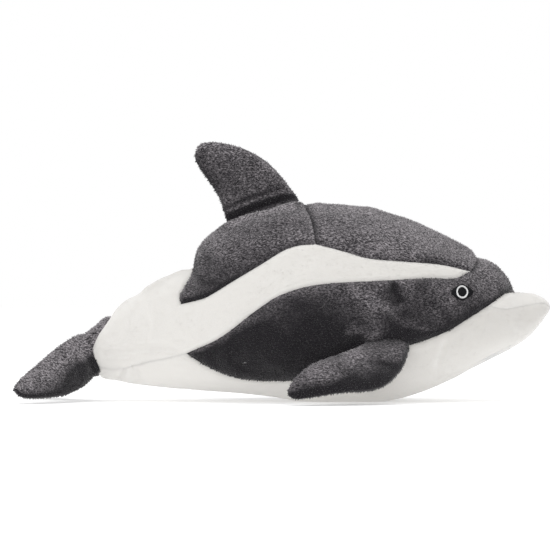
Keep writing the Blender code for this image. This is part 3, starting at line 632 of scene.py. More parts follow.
# The panels, by the solids that they stand for, each as one or two grids
panels = {"cape": [patch(mirrored(cape_edge), cape_edge, across(cross_seam), across(cape_front[::-1]))]}
saddle = [patch(saddle_top, saddle_edge, saddle_back, cross_seam)]
flank = [patch(ridge, flank_seam, ring_upper[::-1], np.concatenate([saddle_back, flank_cut[1:]])),
         patch(np.concatenate([saddle_edge, cape_edge[1:]]), side_top, flank_cut,
               np.repeat(cape_tip[None], DOWN_TAIL + 1, axis=0))]
side_panel = [patch(side_top, side_low_rear, np.repeat(side_tip[None], DOWN_FACE + 1, axis=0), face_cut),
              patch(np.concatenate([cape_front, forehead[1:]]), side_low_front, face_cut, face_front)]
for name, grids in (("saddle", saddle), ("flank", flank), ("side_panel", side_panel)):
    panels[name + "_right"] = grids
    panels[name + "_left"] = [mirrored(grid)[:, ::-1] for grid in grids]
belly_edge = np.concatenate([flank_seam, side_low_rear[1:], side_low_front[1:], mouth[1:]])
panels["belly"] = [wrapped(belly_edge, across(ring_lower[::-1])[::-1])]
panels["upper_beak"] = [patch(mouth, mirrored(face_front), face_front[::-1], mirrored(mouth)[::-1])]
half_ring = np.concatenate([ring_upper[::-1], ring_lower[1:]])
ring = np.concatenate([half_ring, mirrored(half_ring)[::-1][1:-1]])
corner = len(ring) // 8
panels["tail_cap"] = [patch(ring[np.arange(-corner, corner + 1)],
                            ring[np.arange(5 * corner, 3 * corner - 1, -1)],
                            ring[np.arange(7 * corner, 5 * corner - 1, -1)],
                            ring[corner : 3 * corner + 1], lean=TAIL_LEAN)]
WHITE_PANELS = ("flank_right", "flank_left", "belly", "upper_beak")


def new_piece(name, points, faces, finish, smooth):
    """A mesh object in its place, from points in millimetres; its first faces are smooth."""
    mesh = bpy.data.meshes.new(name)
    mesh.from_pydata(((points - [MIDDLE_X, 0, 0]) * MM).tolist(), [], faces)
    mesh.polygons.foreach_set("use_smooth", [i < smooth for i in range(len(faces))])
    mesh.materials.append(finish)
    made = bpy.data.objects.new(name, mesh)
    scene.collection.objects.link(made)
    return made


# Painted light on a slope: how much lighter the pile is painted the more the cloth looks up towards the
# light from above
LIGHT_BY_SLOPE = [(-1, -1), (0.55, 0.55), (0.95, 0.43), (1, 0.715)]

# Painted light and shade for each panel, for how its velvet caught the overhead lamps: how much its slope
# counts, what it has besides, and how that grows along x
PANEL_LIGHT = {"side_panel": (1.2, -0.2, 0), "flipper": (2.2, -0.77, 0), "fluke": (2.5, -1.4, -0.006),
       "saddle": (1, -0.05, 0.002), "fin": (1, 0.16, 0), "cape": (1, 0.2, 0), "tail_cap": (1, 0.7, 0),
       "belly": (1, 0.25, 0.005), "upper_beak": (1, -0.1, 0), "flank": (1, 0, 0.003)}

# Painted highlights and shade on the side view: x, height, reach, how much lighter it is painted (below
# zero darker)
LIGHT_SPOTS = {
    "side_panel": [(68, 75, 9, 0.2), (59, 60, 13, 0.4), (64, 48, 8, 0.3), (76.5, 79, 4, -0.35),
                   (86, 79, 6, 0.2), (111, 86, 9, -0.3), (97, 85, 6, -0.2), (139, 76, 12, 0.06),
                   (141, 98, 8, 0.7), (111, 74, 13, 0.18), (120, 60, 16, 0.28), (98, 55, 10, 0.12)],
    "cape": [(41, 121, 15, -0.15), (74, 112, 15, 0.2), (104, 120, 9, 0.6), (104, 100, 7, -0.25)],
    "saddle": [(-46, 113, 9, 0.45)],
    "fin": [(-38, 140, 8, 0.25)],
    "flipper": [(48, 17, 10, -0.7), (69, 22, 10, -0.5), (48, 34, 8, 0.8), (26, 24, 8, 0.4)],
    "fluke": [(-137.5, 16, 14, -1.2), (-138, 40, 9, 1.5), (-155, 32, 10, 0.6)],
}

# Lines beside which light or shade is painted, by the seams and along the lip's ridge: points, reach, how
# much lighter it is painted (below zero darker)
LIGHT_LINES = {
    "cape": [(CROSS_SEAM, 3.2, -0.9), (CAPE_FRONT, 2.6, 0.5)],
    "saddle": [(CROSS_SEAM, 2.2, 0.7), ([(-36, 122.8), (-20, 129.4), (-2, 134), (8, 135.6)], 1.9, 0.9)],
    "side_panel": [(CAPE_FRONT, 2.4, -0.9)],
}

# How much painted shade a fold takes for each millimetre of its depth
FOLD_SHADE = 0.28


def looks_up(points, faces):
    """How far the cloth at each point looks up: 1 for level ground, below 0 underneath."""
    corners = points[faces]
    ways = np.cross(corners[:, 1] - corners[:, 0], corners[:, 2] - corners[:, 1])
    total = np.stack([sum(np.bincount(faces[:, k], ways[:, i], len(points)) for k in range(3))
                      for i in range(3)], axis=1)
    return total[:, 2] / np.maximum(np.linalg.norm(total, axis=1), 1e-9)


def rows_for(solid, table):
    """What a table holds for the panels that a solid is one of."""
    return next((rows for panel, rows in table.items() if solid.startswith(panel)), ())


def painted_light_and_shade(solid, points, up, folded):
    """Painted light and shade on the pile: lighter where the cloth looks up, set for each panel, shaded in
    folds, and lighter or darker in spots and beside lines.
    """
    slope, level, rise = rows_for(solid, PANEL_LIGHT)
    painted_light = slope * np.interp(up, *np.transpose(LIGHT_BY_SLOPE)) + level + rise * points[:, 0]
    painted_light -= FOLD_SHADE * np.tile(folded, 2)
    for x, z, reach, more in rows_for(solid, LIGHT_SPOTS):
        away = np.hypot(points[:, 0] - x, points[:, 2] - z)
        painted_light += more * np.exp(-((away / reach) ** 2))
    for line, reach, more in rows_for(solid, LIGHT_LINES):
        drawn = np.array([(x, 0, z) for x, z in line], float)
        away = distance(points * [1, 0, 1], drawn[:-1], drawn[1:])
        painted_light += more * np.exp(-((away / reach) ** 2))
    return painted_light


# The pile stops round the embroidered eyes, which are pointed ovals, and near the ground
EYE_PLACE = (123.7, 76.1)
EYE_LENGTH, EYE_HEIGHT = 15.6, 10.6
EYE_POINTED = 1.5
EYE_CLEAR = 0.2
PILE_CLEAR = 2.6


def grows_pile(solid, middles):
    """Whether the faces with these middles carry pile."""
    grows = middles[:, 2] > PILE_CLEAR
    if solid.startswith("side_panel"):
        off = abs(middles[:, [0, 2]] - EYE_PLACE) / (np.array([EYE_LENGTH, EYE_HEIGHT]) / 2 + EYE_CLEAR)
        grows &= (off ** (2 / EYE_POINTED)).sum(axis=1) > 1
    return grows


def stuffed_piece(solid, points, faces, outer_count, finish, folded):
    """A filled piece in place of its solid; only its outer faces carry the pile."""
    made = new_piece("plush_" + solid, points, faces, finish, 2 * outer_count)
    grows = np.zeros(len(faces), bool)
    middles = np.array([points[list(face)].mean(axis=0) for face in faces[:outer_count]])
    grows[:outer_count] = grows_pile(solid, middles)
    rim = {frozenset(edge) for face in faces[2 * outer_count :] for edge in (face[:2], face[2:])}
    for edge in made.data.edges:
        edge.use_edge_sharp = frozenset(edge.vertices) in rim
    up = looks_up(points, np.array([face[:3] for face in faces[: 2 * outer_count]]))
    painted_light = painted_light_and_shade(solid, points, up, folded)
    made.data.attributes.new("grows_pile", "BOOLEAN", "FACE").data.foreach_set("value", grows)
    # The open value holds the painted light and shade of the pile
    made.data.attributes.new("open", "FLOAT", "POINT").data.foreach_set("value", painted_light)
    made.data.attributes.new("tuft", "FLOAT", "POINT").data.foreach_set("value", np.full(len(points), 0.5))
    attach(made, "root")
    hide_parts(solid)
    return made


# The fin's root lifts the saddle into a rolled lip around it
LIP_REAR, LIP_FRONT = -38.6, 10.4
LIP_HEIGHT = [(-38.6, 0.4), (-20, -0.6), (-2, -0.4), (6, 1.8), (11, 3.4), (16, 2.4)]
FIN_ROOT = 9.7
LIP_AWAY, LIP_INNER, LIP_OUTER = 3.5, 3.0, 8.0
LIP_END, LIP_ABOVE = 4.0, 80


def lip(points):
    """How high the saddle's lip stands on the body form."""
    x, y = points[:, 0], abs(points[:, 1])
    chord = np.clip((LIP_FRONT - x) / (LIP_FRONT - LIP_REAR), 0, 1)
    off = y - FIN_ROOT * (4 * chord * (1 - chord)) ** 0.45 - LIP_AWAY
    past = np.maximum(np.maximum(LIP_REAR - x, x - LIP_FRONT - 5), 0)
    height = np.interp(x, *np.transpose(LIP_HEIGHT))
    height *= np.exp(-((off / np.where(off > 0, LIP_OUTER, LIP_INNER)) ** 2))
    return height * np.exp(-((past / LIP_END) ** 2)) * (points[:, 2] > LIP_ABOVE)


# The cloth is cut a little larger than the form it covers: the filling swells it and the seams gather it
CLOTH_FRAMES = 20
CLOTH_PRESSURE = 4.0
CLOTH_EASE = -0.08
CLOTH_LIMIT = 0.6
CLOTH_EVENED = 40
CLOTH_SMOOTHED = 6
WRINKLES_DARK, WRINKLES_WHITE = 1.0, 0.35
NEAREST, NEAREST_SOFT = 4, 0.3


def gathered(points, faces, held):
    """How far the wrinkles of a closed skin stand off its even swell, from a run of the cloth."""
    cloth_piece = new_piece("cloth_run", points, faces, WHITE, len(faces))
    cloth_piece.vertex_groups.new(name="held").add(np.flatnonzero(held).tolist(), 1, "REPLACE")
    normals = np.array([normal.vector for normal in cloth_piece.data.vertex_normals])
    modifier = cloth_piece.modifiers.new("cloth", "CLOTH")
    modifier.point_cache.frame_start, modifier.point_cache.frame_end = 1, CLOTH_FRAMES
    settings = modifier.settings
    settings.quality = 5
    settings.mass = 0.15
    settings.tension_stiffness = settings.compression_stiffness = 12
    settings.shear_stiffness = 4
    settings.bending_stiffness = 0.3
    settings.use_pressure = True
    settings.uniform_pressure_force = CLOTH_PRESSURE
    settings.effector_weights.gravity = 0
    settings.vertex_group_mass = "held"
    settings.shrink_min = CLOTH_EASE
    for number in range(1, CLOTH_FRAMES + 1):
        scene.frame_set(number)
    evaluated = cloth_piece.evaluated_get(bpy.context.evaluated_depsgraph_get())
    places = np.empty(3 * len(points))
    evaluated.data.vertices.foreach_get("co", places)
    moved = ((places.reshape(-1, 3) / MM + [MIDDLE_X, 0, 0] - points) * normals).sum(axis=1)
    edges = np.array([edge.vertices[:] for edge in cloth_piece.data.edges])
    bpy.data.objects.remove(cloth_piece)
    scene.frame_set(1)
    shared = np.bincount(edges.ravel(), minlength=len(points))
    steps = [moved]
    for _ in range(CLOTH_EVENED):
        around = np.bincount(edges[:, 0], steps[-1][edges[:, 1]], len(points))
        around += np.bincount(edges[:, 1], steps[-1][edges[:, 0]], len(points))
        steps.append((steps[-1] + around / shared) / 2)
    return np.clip(steps[CLOTH_SMOOTHED] - steps[-1], -CLOTH_LIMIT, CLOTH_LIMIT)


def carried(points, sources, values):
    """The values of the nearest source points, blended by nearness."""
    tree = KDTree(len(sources))
    for i, place in enumerate(sources):
        tree.insert(place, i)
    tree.balance()
    found = []
    for point in points:
        near = tree.find_n(point, NEAREST)
        weights = np.array([1 / (far + NEAREST_SOFT) ** 2 for _, _, far in near])
        found.append(weights @ values[[i for _, i, _ in near]] / weights.sum())
    return np.array(found)


def keys_of(points):
    """The points in a form that a set can hold."""
    return list(map(tuple, welded(points).tolist()))


# The run covers all panels at once and is held along their seams
on_seams = set()
for grids in panels.values():
    points, faces = sewn([grid[::FINE, ::FINE] for grid in grids])
    on_seams.update(keys_of(points[edge_loop(faces)[:, 0]]))
run_points, run_faces = sewn([grid[::FINE, ::FINE] for grids in panels.values() for grid in grids])
run_wrinkles = gathered(run_points, run_faces, [key in on_seams for key in keys_of(run_points)])

# The white panels meet in flat seams that the pile hides; every other seam is drawn in
FLAT_DIP, FLAT_DIP_REACH, FLAT_GAP = 0.05, 2.0, 0.02
flat_places = {key for line in (ridge, flank_seam, mouth) for both in (line, mirrored(line))
               for key in keys_of(both)}
deep_seams, flat_seams = {}, {}
for name, grids in panels.items():
    points, faces = sewn(grids)
    loop = edge_loop(faces)
    flat = np.array([key in flat_places for key in keys_of(points)])[loop].all(axis=1)
    deep_seams[name], flat_seams[name] = points[loop[~flat]], points[loop[flat]]
white_deep, white_flat = (np.concatenate([seams[name] for name in WHITE_PANELS])
                          for seams in (deep_seams, flat_seams))

# Every panel takes the body form, with its swell, its seams, its folds and the wrinkles of the cloth run
AT_SEAM = 3.0
skins = []
skin_points, skin_faces, skin_count = [], [], 0
for name, grids in panels.items():
    points, faces = sewn(grids)
    normals = outward(points)
    loop = edge_loop(faces)
    white = name in WHITE_PANELS
    deep = white_deep if white else deep_seams[name]
    far = distance(points, deep[:, 0], deep[:, 1])
    rise = PILLOW * (1 - np.exp(-far / PILLOW_REACH)) - SEAM_DIP * np.exp(-((far / SEAM_DIP_REACH) ** 2))
    if white:
        near = distance(points, white_flat[:, 0], white_flat[:, 1])
        rise -= FLAT_DIP * np.exp(-((near / FLAT_DIP_REACH) ** 2)) * (1 - np.exp(-far / AT_SEAM))
    wrinkles = carried(points, run_points, run_wrinkles) * (WRINKLES_WHITE if white else WRINKLES_DARK)
    creases = crease_depth(points)
    rise += (wrinkles - creases) * (1 - np.exp(-far / AT_SEAM))
    rise = (rise + lip(points) - PILE_ROOM)[:, None]
    edge = pulled_in(points, loop, normals, FLAT_GAP if white else SEAM_GAP)
    outer = edge + normals * rise
    inner = edge + normals * (rise - FABRIC)
    outer[:, 2] = np.maximum(outer[:, 2], 0)
    inner[:, 2] = np.maximum(inner[:, 2], FABRIC)
    finish = WHITE if white else DARK
    skins.append(stuffed_piece(name, *shell(outer, inner, faces), len(faces), finish, creases))
    skin_faces += [tuple(i + skin_count for i in face) for face in faces]
    skin_points.append(outer)
    skin_count += len(outer)
skin = BVHTree.FromPolygons(np.concatenate(skin_points).tolist(), skin_faces)


# Fins: the dorsal fin, two flippers and two fluke lobes are leaves of two plush panels each, sewn along
# the edge and filled. Their roots are sewn into the body's seams, where the cloth folds.
ACROSS_LEAF, ALONG_LEAF = 44, 56
LEAF_SEAM, LEAF_RIM = 0.12, 0.3
LEAF_TO = 0.997
LEAF_TAPER, LEAF_ROUND = 0.34, 0.9
ROOT_FROM, ROOT_STEPS, ROOT_BACK, ROOT_HALVINGS = 0.97, 50, 0.02, 9
ROOT_SINK = 0.8
# Painted shade near a leaf's root, where it meets the body: how much, and over what share of its length
ROOT_SHADE, ROOT_SHADE_TO = 1.2, 0.07


def leaf_point(lead, trail, thickness, along, chord, depth):
    """A point of a leaf: along it from root to tip, across it from edge to edge, depth as a function."""
    a, b = lead(along), trail(along)
    middle = a + (b - a) * chord[:, None]
    side = np.cross(b - a, lead(along + 0.02) + trail(along + 0.02) - a - b)
    side /= np.linalg.norm(side, axis=1)[:, None]
    full = np.sqrt(np.clip(1 - (2 * chord - 1) ** 2, 0, 1))
    taper = np.clip(1 - along, 0, 1) ** LEAF_TAPER * (0.85 + 0.15 * np.cos(along * 3))
    return middle + side * depth(thickness / 2 * full**LEAF_ROUND * taper, full)[:, None]


def line_at(points):
    """A smooth line as a function of the share of its length."""
    line = spread(smooth_line(points), 300)
    at = np.linspace(0, 1, 301)
    return lambda t: np.stack([np.interp(t, at, line[:, k]) for k in range(3)], axis=1)


def root_of(place, chord):
    """How far from its root a line along the leaf first clears the body skin."""

    def room(along):
        point = Vector(place(np.array([along]), np.array([chord]))[0])
        near, normal, _, far = skin.find_nearest(point)
        return (-far if (point - near).dot(normal) < 0 else far) + ROOT_SINK

    last = ROOT_FROM
    for step in np.linspace(ROOT_FROM, 0, ROOT_STEPS):
        if room(step) < 0:
            break
        last = step
    low, high = max(last - ROOT_BACK, 0), last
    for _ in range(ROOT_HALVINGS):
        half = (low + high) / 2
        low, high = (low, half) if room(half) > 0 else (half, high)
    return high


def leaf(solids, lead, trail, thickness, folds, other_side=()):
    """The two plush panels of a leaf; folds gives how deep the cloth folds at along and chord."""
    chords = 0.002 + 0.996 * (0.5 - 0.5 * np.cos(np.linspace(0, np.pi, ACROSS_LEAF + 1)))
    share = np.linspace(0, 1, ALONG_LEAF + 1) ** 0.95
    for sign, solid in zip((1, -1), solids):
        grids, folded = [], []
        for wall in (0, FABRIC):

            def place(along, chord):
                return leaf_point(lead, trail, thickness, along, chord, lambda h, full: sign * np.maximum(
                    h - folds(along, chord) * full - wall, LEAF_SEAM + LEAF_RIM * (wall == 0)))

            lines = [start + (LEAF_TO - start) * share for start in (root_of(place, c) for c in chords)]
            grids.append(np.stack([place(line, np.full(len(line), c)) for line, c in zip(lines, chords)]))
            folded.append(np.concatenate([folds(line, c) for line, c in zip(lines, chords)]))
        faces = list(map(tuple, grid_faces(grids[0]).tolist()))
        points, faces_all = shell(grids[0].reshape(-1, 3), grids[1].reshape(-1, 3), faces)
        if volume(points, faces_all) < 0:
            faces_all = [face[::-1] for face in faces_all]
        # Painted shade in the leaf's folds and near its root
        at_root = np.tile(np.exp(-((share / ROOT_SHADE_TO) ** 2)), len(chords))
        painted_shade = folded[0] + ROOT_SHADE * at_root
        skins.append(stuffed_piece(solid, points, faces_all, len(faces), DARK, painted_shade))
        if other_side:
            flipped = [face[::-1] for face in faces_all]
            skins.append(stuffed_piece(other_side[sign < 0], mirrored(points), flipped, len(faces), DARK,
                                       painted_shade))


def volume(points, faces):
    """Above zero if the closed faces look outwards."""
    corners = np.array([points[list(face[:3])] for face in faces])
    return np.einsum("ij,ij->i", corners[:, 0], np.cross(corners[:, 1], corners[:, 2])).sum()


def flat_edge(points):
    """A leaf's edge on the middle plane, from x and height."""
    return line_at([(x, 0, z) for x, z in points])


def spread_edge(points, span):
    """A leaf's edge on the right side, from x, share of the half span and height."""
    return line_at([(x, -share * span / 2, z) for x, share, z in points])


def fold(along, at, width, depth):
    """One fold across a leaf."""
    return depth * np.exp(-(((along - at) / width) ** 2))


# Dorsal fin, upright between the saddle pieces, with two folds above its root
FIN_THICKNESS = 21.0
FIN_LEAD = [(14, 130), (11.2, 142), (6, 149.2), (-1, 158.2), (-9.4, 166.6), (-18.6, 172.8), (-29.1, 177.6),
            (-42, 180.6), (-52, 181), (-57.4, 179), (-60, 174.6)]
FIN_TRAIL = [(-34, 114), (-38.4, 126), (-40.4, 133.7), (-44.6, 144.2), (-50.2, 152.8), (-55.2, 160),
             (-59.2, 166.4), (-60.6, 171), (-60, 174.6)]


def fin_folds(along, chord):
    return fold(along, 0.14 + 0.07 * chord, 0.034, 2.2) + fold(along, 0.22 + 0.09 * chord, 0.022, 1.0)


leaf(("fin_left", "fin_right"), flat_edge(FIN_LEAD), flat_edge(FIN_TRAIL), FIN_THICKNESS, fin_folds)

# Flippers, on the seams between the side panels and the belly
FLIPPER_THICKNESS = 17.0
FLIPPER_SPAN = 194.0
FLIPPER_LEAD = [(89, 0.42, 46), (87.1, 0.57, 38.4), (83.4, 0.68, 27.5), (77.6, 0.76, 19.6),
                (70, 0.835, 13.7), (59.7, 0.89, 10.5), (46, 0.94, 9.6), (32.5, 0.97, 8), (19, 0.99, 5.7),
                (8.9, 1, 4.8), (4.6, 1, 7)]
FLIPPER_TRAIL = [(57, 0.46, 43), (52.2, 0.6, 36.9), (43.2, 0.68, 34.4), (32.8, 0.77, 31.2),
                 (22.5, 0.855, 28), (14.4, 0.91, 23.4), (8.3, 0.95, 17.4), (4.2, 0.99, 10.8), (4.6, 1, 7)]


def flipper_folds(along, chord):
    return fold(along, 0.33 + 0.1 * chord, 0.03, 0.7) + fold(along, 0.5 - 0.1 * chord, 0.05, 0.4)


leaf(("flipper_right_upper", "flipper_right_lower"), spread_edge(FLIPPER_LEAD, FLIPPER_SPAN),
     spread_edge(FLIPPER_TRAIL, FLIPPER_SPAN), FLIPPER_THICKNESS, flipper_folds,
     ("flipper_left_upper", "flipper_left_lower"))

# Fluke lobes, on both sides of the tail's end
FLUKE_THICKNESS = 15.5
FLUKE_SPAN = 142.0
FLUKE_LEAD = [(-118, 0.05, 24), (-130.8, 0.2, 17.8), (-138.2, 0.36, 11), (-145.4, 0.5, 6.8),
              (-152.3, 0.64, 5.1), (-161.9, 0.78, 4.4), (-171.7, 0.9, 4.2), (-178.1, 0.97, 5.8),
              (-182.1, 1, 10.6)]
FLUKE_TRAIL = [(-128, 0.02, 43), (-140.8, 0.07, 45.9), (-148.6, 0.2, 42.9), (-157, 0.35, 36.8),
               (-165.2, 0.52, 29.5), (-172.7, 0.69, 22.6), (-178.7, 0.86, 17), (-182.1, 1, 10.6)]


def fluke_folds(along, chord):
    return fold(along, 0.2 + 0.05 * chord, 0.03, 1.2) + fold(along, 0.36 - 0.06 * chord, 0.05, 0.6)


leaf(("fluke_right_upper", "fluke_right_lower"), spread_edge(FLUKE_LEAD, FLUKE_SPAN),
     spread_edge(FLUKE_TRAIL, FLUKE_SPAN), FLUKE_THICKNESS, fluke_folds,
     ("fluke_left_upper", "fluke_left_lower"))


# Pile: short tufts over every plush panel, combed towards the tail. They give the toy its soft outline
# and the ragged line where dark plush meets white.
PILES = {  # length, width and number to a square millimetre
    "plush_dark": (1.6, 0.9, 0.9),
    "plush_white": (0.45, 1.4, 0.4),
}
PILE_LEAN = (-0.45, 0.0, -0.25)
PILE_UNEVEN = 0.35
PILE_ROOTED = 0.35
PILE_SIZES = 0.65, 1.2
TUFT_SIDES = 3

pile_tree = bpy.data.node_groups.new("pile", "GeometryNodeTree")
sockets(pile_tree, "INPUT", Geometry="Geometry", Length="Float", Width="Float", Density="Float",
        Lean="Vector", Uneven="Float", Rooted="Float", Seed="Int", Material="Material")
sockets(pile_tree, "OUTPUT", Geometry="Geometry")
given = node(pile_tree, "NodeGroupInput")
results = node(pile_tree, "NodeGroupOutput")
grows = node(pile_tree, "GeometryNodeInputNamedAttribute", data_type="BOOLEAN")
grows.inputs["Name"].default_value = "grows_pile"
roots = node(pile_tree, "GeometryNodeDistributePointsOnFaces")
sunk = node(pile_tree, "GeometryNodeSetPosition")
inward = node(pile_tree, "ShaderNodeVectorMath", operation="SCALE")
stray = node(pile_tree, "FunctionNodeRandomValue", data_type="FLOAT_VECTOR")
stray.inputs[0].default_value = (-1, -1, -1)
stray.inputs[1].default_value = (1, 1, 1)
strayed = node(pile_tree, "ShaderNodeVectorMath", operation="SCALE")
combed, pointing = (node(pile_tree, "ShaderNodeVectorMath", operation="ADD") for _ in range(2))
turned = node(pile_tree, "FunctionNodeAlignRotationToVector", axis="Z")
which = node(pile_tree, "FunctionNodeRandomValue", data_type="FLOAT")
counted = node(pile_tree, "GeometryNodeStoreNamedAttribute", data_type="FLOAT", domain="POINT")
counted.inputs["Name"].default_value = "tuft"
size = node(pile_tree, "FunctionNodeRandomValue", data_type="FLOAT")
size.inputs[2].default_value, size.inputs[3].default_value = PILE_SIZES
tuft = node(pile_tree, "GeometryNodeMeshCone")
tuft.inputs["Vertices"].default_value = TUFT_SIDES
tuft.inputs["Side Segments"].default_value = 1
tuft.inputs["Radius Top"].default_value = 0
tip = node(pile_tree, "GeometryNodeStoreNamedAttribute", data_type="FLOAT", domain="POINT")
tip.inputs["Name"].default_value = "tip"
height = node(pile_tree, "ShaderNodeSeparateXYZ")
share = node(pile_tree, "ShaderNodeMath", operation="DIVIDE")
placed = node(pile_tree, "GeometryNodeInstanceOnPoints")
real = node(pile_tree, "GeometryNodeRealizeInstances")
soft = node(pile_tree, "GeometryNodeSetShadeSmooth")
coloured = node(pile_tree, "GeometryNodeSetMaterial")
link(pile_tree,
     (given.outputs["Geometry"], roots.inputs["Mesh"]),
     (grows.outputs["Attribute"], roots.inputs["Selection"]),
     (given.outputs["Density"], roots.inputs["Density"]), (given.outputs["Seed"], roots.inputs["Seed"]),
     (roots.outputs["Points"], sunk.inputs["Geometry"]), (roots.outputs["Normal"], inward.inputs[0]),
     (given.outputs["Rooted"], inward.inputs["Scale"]), (inward.outputs[0], sunk.inputs["Offset"]),
     (given.outputs["Seed"], stray.inputs["Seed"]), (stray.outputs[0], strayed.inputs[0]),
     (given.outputs["Uneven"], strayed.inputs["Scale"]), (roots.outputs["Normal"], combed.inputs[0]),
     (given.outputs["Lean"], combed.inputs[1]), (combed.outputs[0], pointing.inputs[0]),
     (strayed.outputs[0], pointing.inputs[1]), (pointing.outputs[0], turned.inputs["Vector"]),
     (given.outputs["Seed"], size.inputs["Seed"]), (given.outputs["Width"], tuft.inputs["Radius Bottom"]),
     (given.outputs["Length"], tuft.inputs["Depth"]), (tuft.outputs["Mesh"], tip.inputs["Geometry"]),
     (node(pile_tree, "GeometryNodeInputPosition").outputs[0], height.inputs[0]),
     (height.outputs["Z"], share.inputs[0]), (given.outputs["Length"], share.inputs[1]),
     (share.outputs[0], tip.inputs["Value"]), (sunk.outputs[0], counted.inputs["Geometry"]),
     (which.outputs[1], counted.inputs["Value"]), (counted.outputs[0], placed.inputs["Points"]),
     (tip.outputs[0], placed.inputs["Instance"]), (turned.outputs[0], placed.inputs["Rotation"]),
     (size.outputs[1], placed.inputs["Scale"]), (placed.outputs[0], real.inputs[0]),
     (real.outputs[0], soft.inputs["Geometry"]), (soft.outputs[0], coloured.inputs["Geometry"]),
     (given.outputs["Material"], coloured.inputs["Material"]), (coloured.outputs[0], results.inputs[0]))


def applied(ground, name, tree, **values):
    """The plain mesh that the node tree makes on a copy of the ground, as a new object."""
    carrier = bpy.data.objects.new(name, ground.data)
    scene.collection.objects.link(carrier)
    modifier = carrier.modifiers.new("nodes", "NODES")
    modifier.node_group = tree
    for title, value in values.items():
        modifier[tree.interface.items_tree[title].identifier] = value
    evaluated = carrier.evaluated_get(bpy.context.evaluated_depsgraph_get())
    mesh = bpy.data.meshes.new_from_object(evaluated)
    carrier.modifiers.remove(modifier)
    carrier.data = mesh
    mesh.name = name
    return carrier


for number, piece in enumerate(skins):
    finish = piece.data.materials[0]
    length, width, tufts = PILES[finish["slot"]]
    pile = applied(piece, piece.name.replace("plush_", "pile_"), pile_tree, Length=length * MM,
                   Width=width / 2 * MM, Density=tufts * 1e6, Lean=PILE_LEAN, Uneven=PILE_UNEVEN,
                   Rooted=-PILE_ROOTED * MM, Seed=number, Material=finish)
    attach(pile, "root")


# Eyes: a pointed patch of black satin stitches on each side of the face, and a ring of white ones on it.
# Every stitch is a twisted thread that arches over the cloth.
EYE_RING, EYE_RING_BAND = 8.4, 0.8
THREAD, THREAD_SIDES, THREAD_STRANDS = 0.5, 6, 900
STITCH_PITCH = 0.4
STITCH_POINTS = 9
STITCH_PAST = 0.15
PATCH_SLANT, RING_SLANT = 0.2, 0.12
PATCH_LIFT, RING_LIFT = 0.55, 1.0
CROWN = 0.7
FAR_OUTSIDE = 300

thread_tree = bpy.data.node_groups.new("stitches", "GeometryNodeTree")
sockets(thread_tree, "INPUT", Geometry="Geometry", Thread="Float", Sides="Int", Material="Material")
sockets(thread_tree, "OUTPUT", Geometry="Geometry")
given = node(thread_tree, "NodeGroupInput")
results = node(thread_tree, "NodeGroupOutput")
paths = node(thread_tree, "GeometryNodeMeshToCurve")
round_thread = node(thread_tree, "GeometryNodeCurvePrimitiveCircle")
laid = node(thread_tree, "GeometryNodeCurveToMesh")
laid.inputs["Fill Caps"].default_value = True
real = node(thread_tree, "GeometryNodeRealizeInstances")
soft = node(thread_tree, "GeometryNodeSetShadeSmooth")
coloured = node(thread_tree, "GeometryNodeSetMaterial")
link(thread_tree,
     (given.outputs["Geometry"], paths.inputs["Mesh"]),
     (given.outputs["Sides"], round_thread.inputs["Resolution"]),
     (given.outputs["Thread"], round_thread.inputs["Radius"]), (paths.outputs[0], laid.inputs["Curve"]),
     (round_thread.outputs[0], laid.inputs["Profile Curve"]), (laid.outputs[0], real.inputs[0]),
     (real.outputs[0], soft.inputs["Geometry"]), (soft.outputs[0], coloured.inputs["Geometry"]),
     (given.outputs["Material"], coloured.inputs["Material"]), (coloured.outputs[0], results.inputs[0]))

# Twisted embroidery thread: fine slanting strands with a soft shine
twist = bpy.data.node_groups.new("twisted_thread", "ShaderNodeTree")
colour_input(twist, "Thread Colour", (0.5, 0.5, 0.5))
value_input(twist, "Depth", 0.35)
sockets(twist, "OUTPUT", Colour="Color", Height="Float")
given = node(twist, "NodeGroupInput")
results = node(twist, "NodeGroupOutput")
strands = node(twist, "ShaderNodeTexWave", bands_direction="DIAGONAL")
strands.inputs["Scale"].default_value = THREAD_STRANDS
strands.inputs["Distortion"].default_value = 1.5
link(twist, (node(twist, "ShaderNodeTexCoord").outputs["Object"], strands.inputs["Vector"]))
shade = node(twist, "ShaderNodeMix", data_type="RGBA", blend_type="MULTIPLY")
darker = maths(twist, "MULTIPLY", strands.outputs["Fac"], given.outputs["Depth"])
light = maths(twist, "SUBTRACT", 1.0, darker)
grey = node(twist, "ShaderNodeCombineColor")
link(twist, (light, grey.inputs[0]), (light, grey.inputs[1]), (light, grey.inputs[2]),
     (given.outputs["Thread Colour"], shade.inputs[6]), (grey.outputs[0], shade.inputs[7]),
     (shade.outputs[2], results.inputs["Colour"]), (strands.outputs["Fac"], results.inputs["Height"]))
shade.inputs[0].default_value = 1


def thread_finish(slot, colour, rough, depth):
    """A material of embroidery thread; depth says how dark it is between its strands."""
    made = finish_for(slot)
    tree = made.node_tree
    shader = tree.nodes["Principled BSDF"]
    shader.inputs["Roughness"].default_value = rough
    shader.inputs["Specular IOR Level"].default_value = 0.15
    thread = node(tree, "ShaderNodeGroup", node_tree=twist)
    thread.inputs["Thread Colour"].default_value = (*colour, 1)
    thread.inputs["Depth"].default_value = depth
    bump = node(tree, "ShaderNodeBump")
    bump.inputs["Strength"].default_value = 0.3
    bump.inputs["Distance"].default_value = 0.1 * MM
    link(tree, (thread.outputs["Colour"], shader.inputs["Base Color"]),
         (thread.outputs["Height"], bump.inputs["Height"]),
         (bump.outputs["Normal"], shader.inputs["Normal"]))
    return made


def on_skin(spots, lift, side):
    """Points over the skin, by x and height on the side view."""
    found = []
    for (x, z), up in zip(spots, lift):
        hit, normal, _, _ = skin.ray_cast(Vector((x, side * FAR_OUTSIDE, z)), Vector((0, -side, 0)))
        found.append(hit + normal * up)
    return np.array(found)


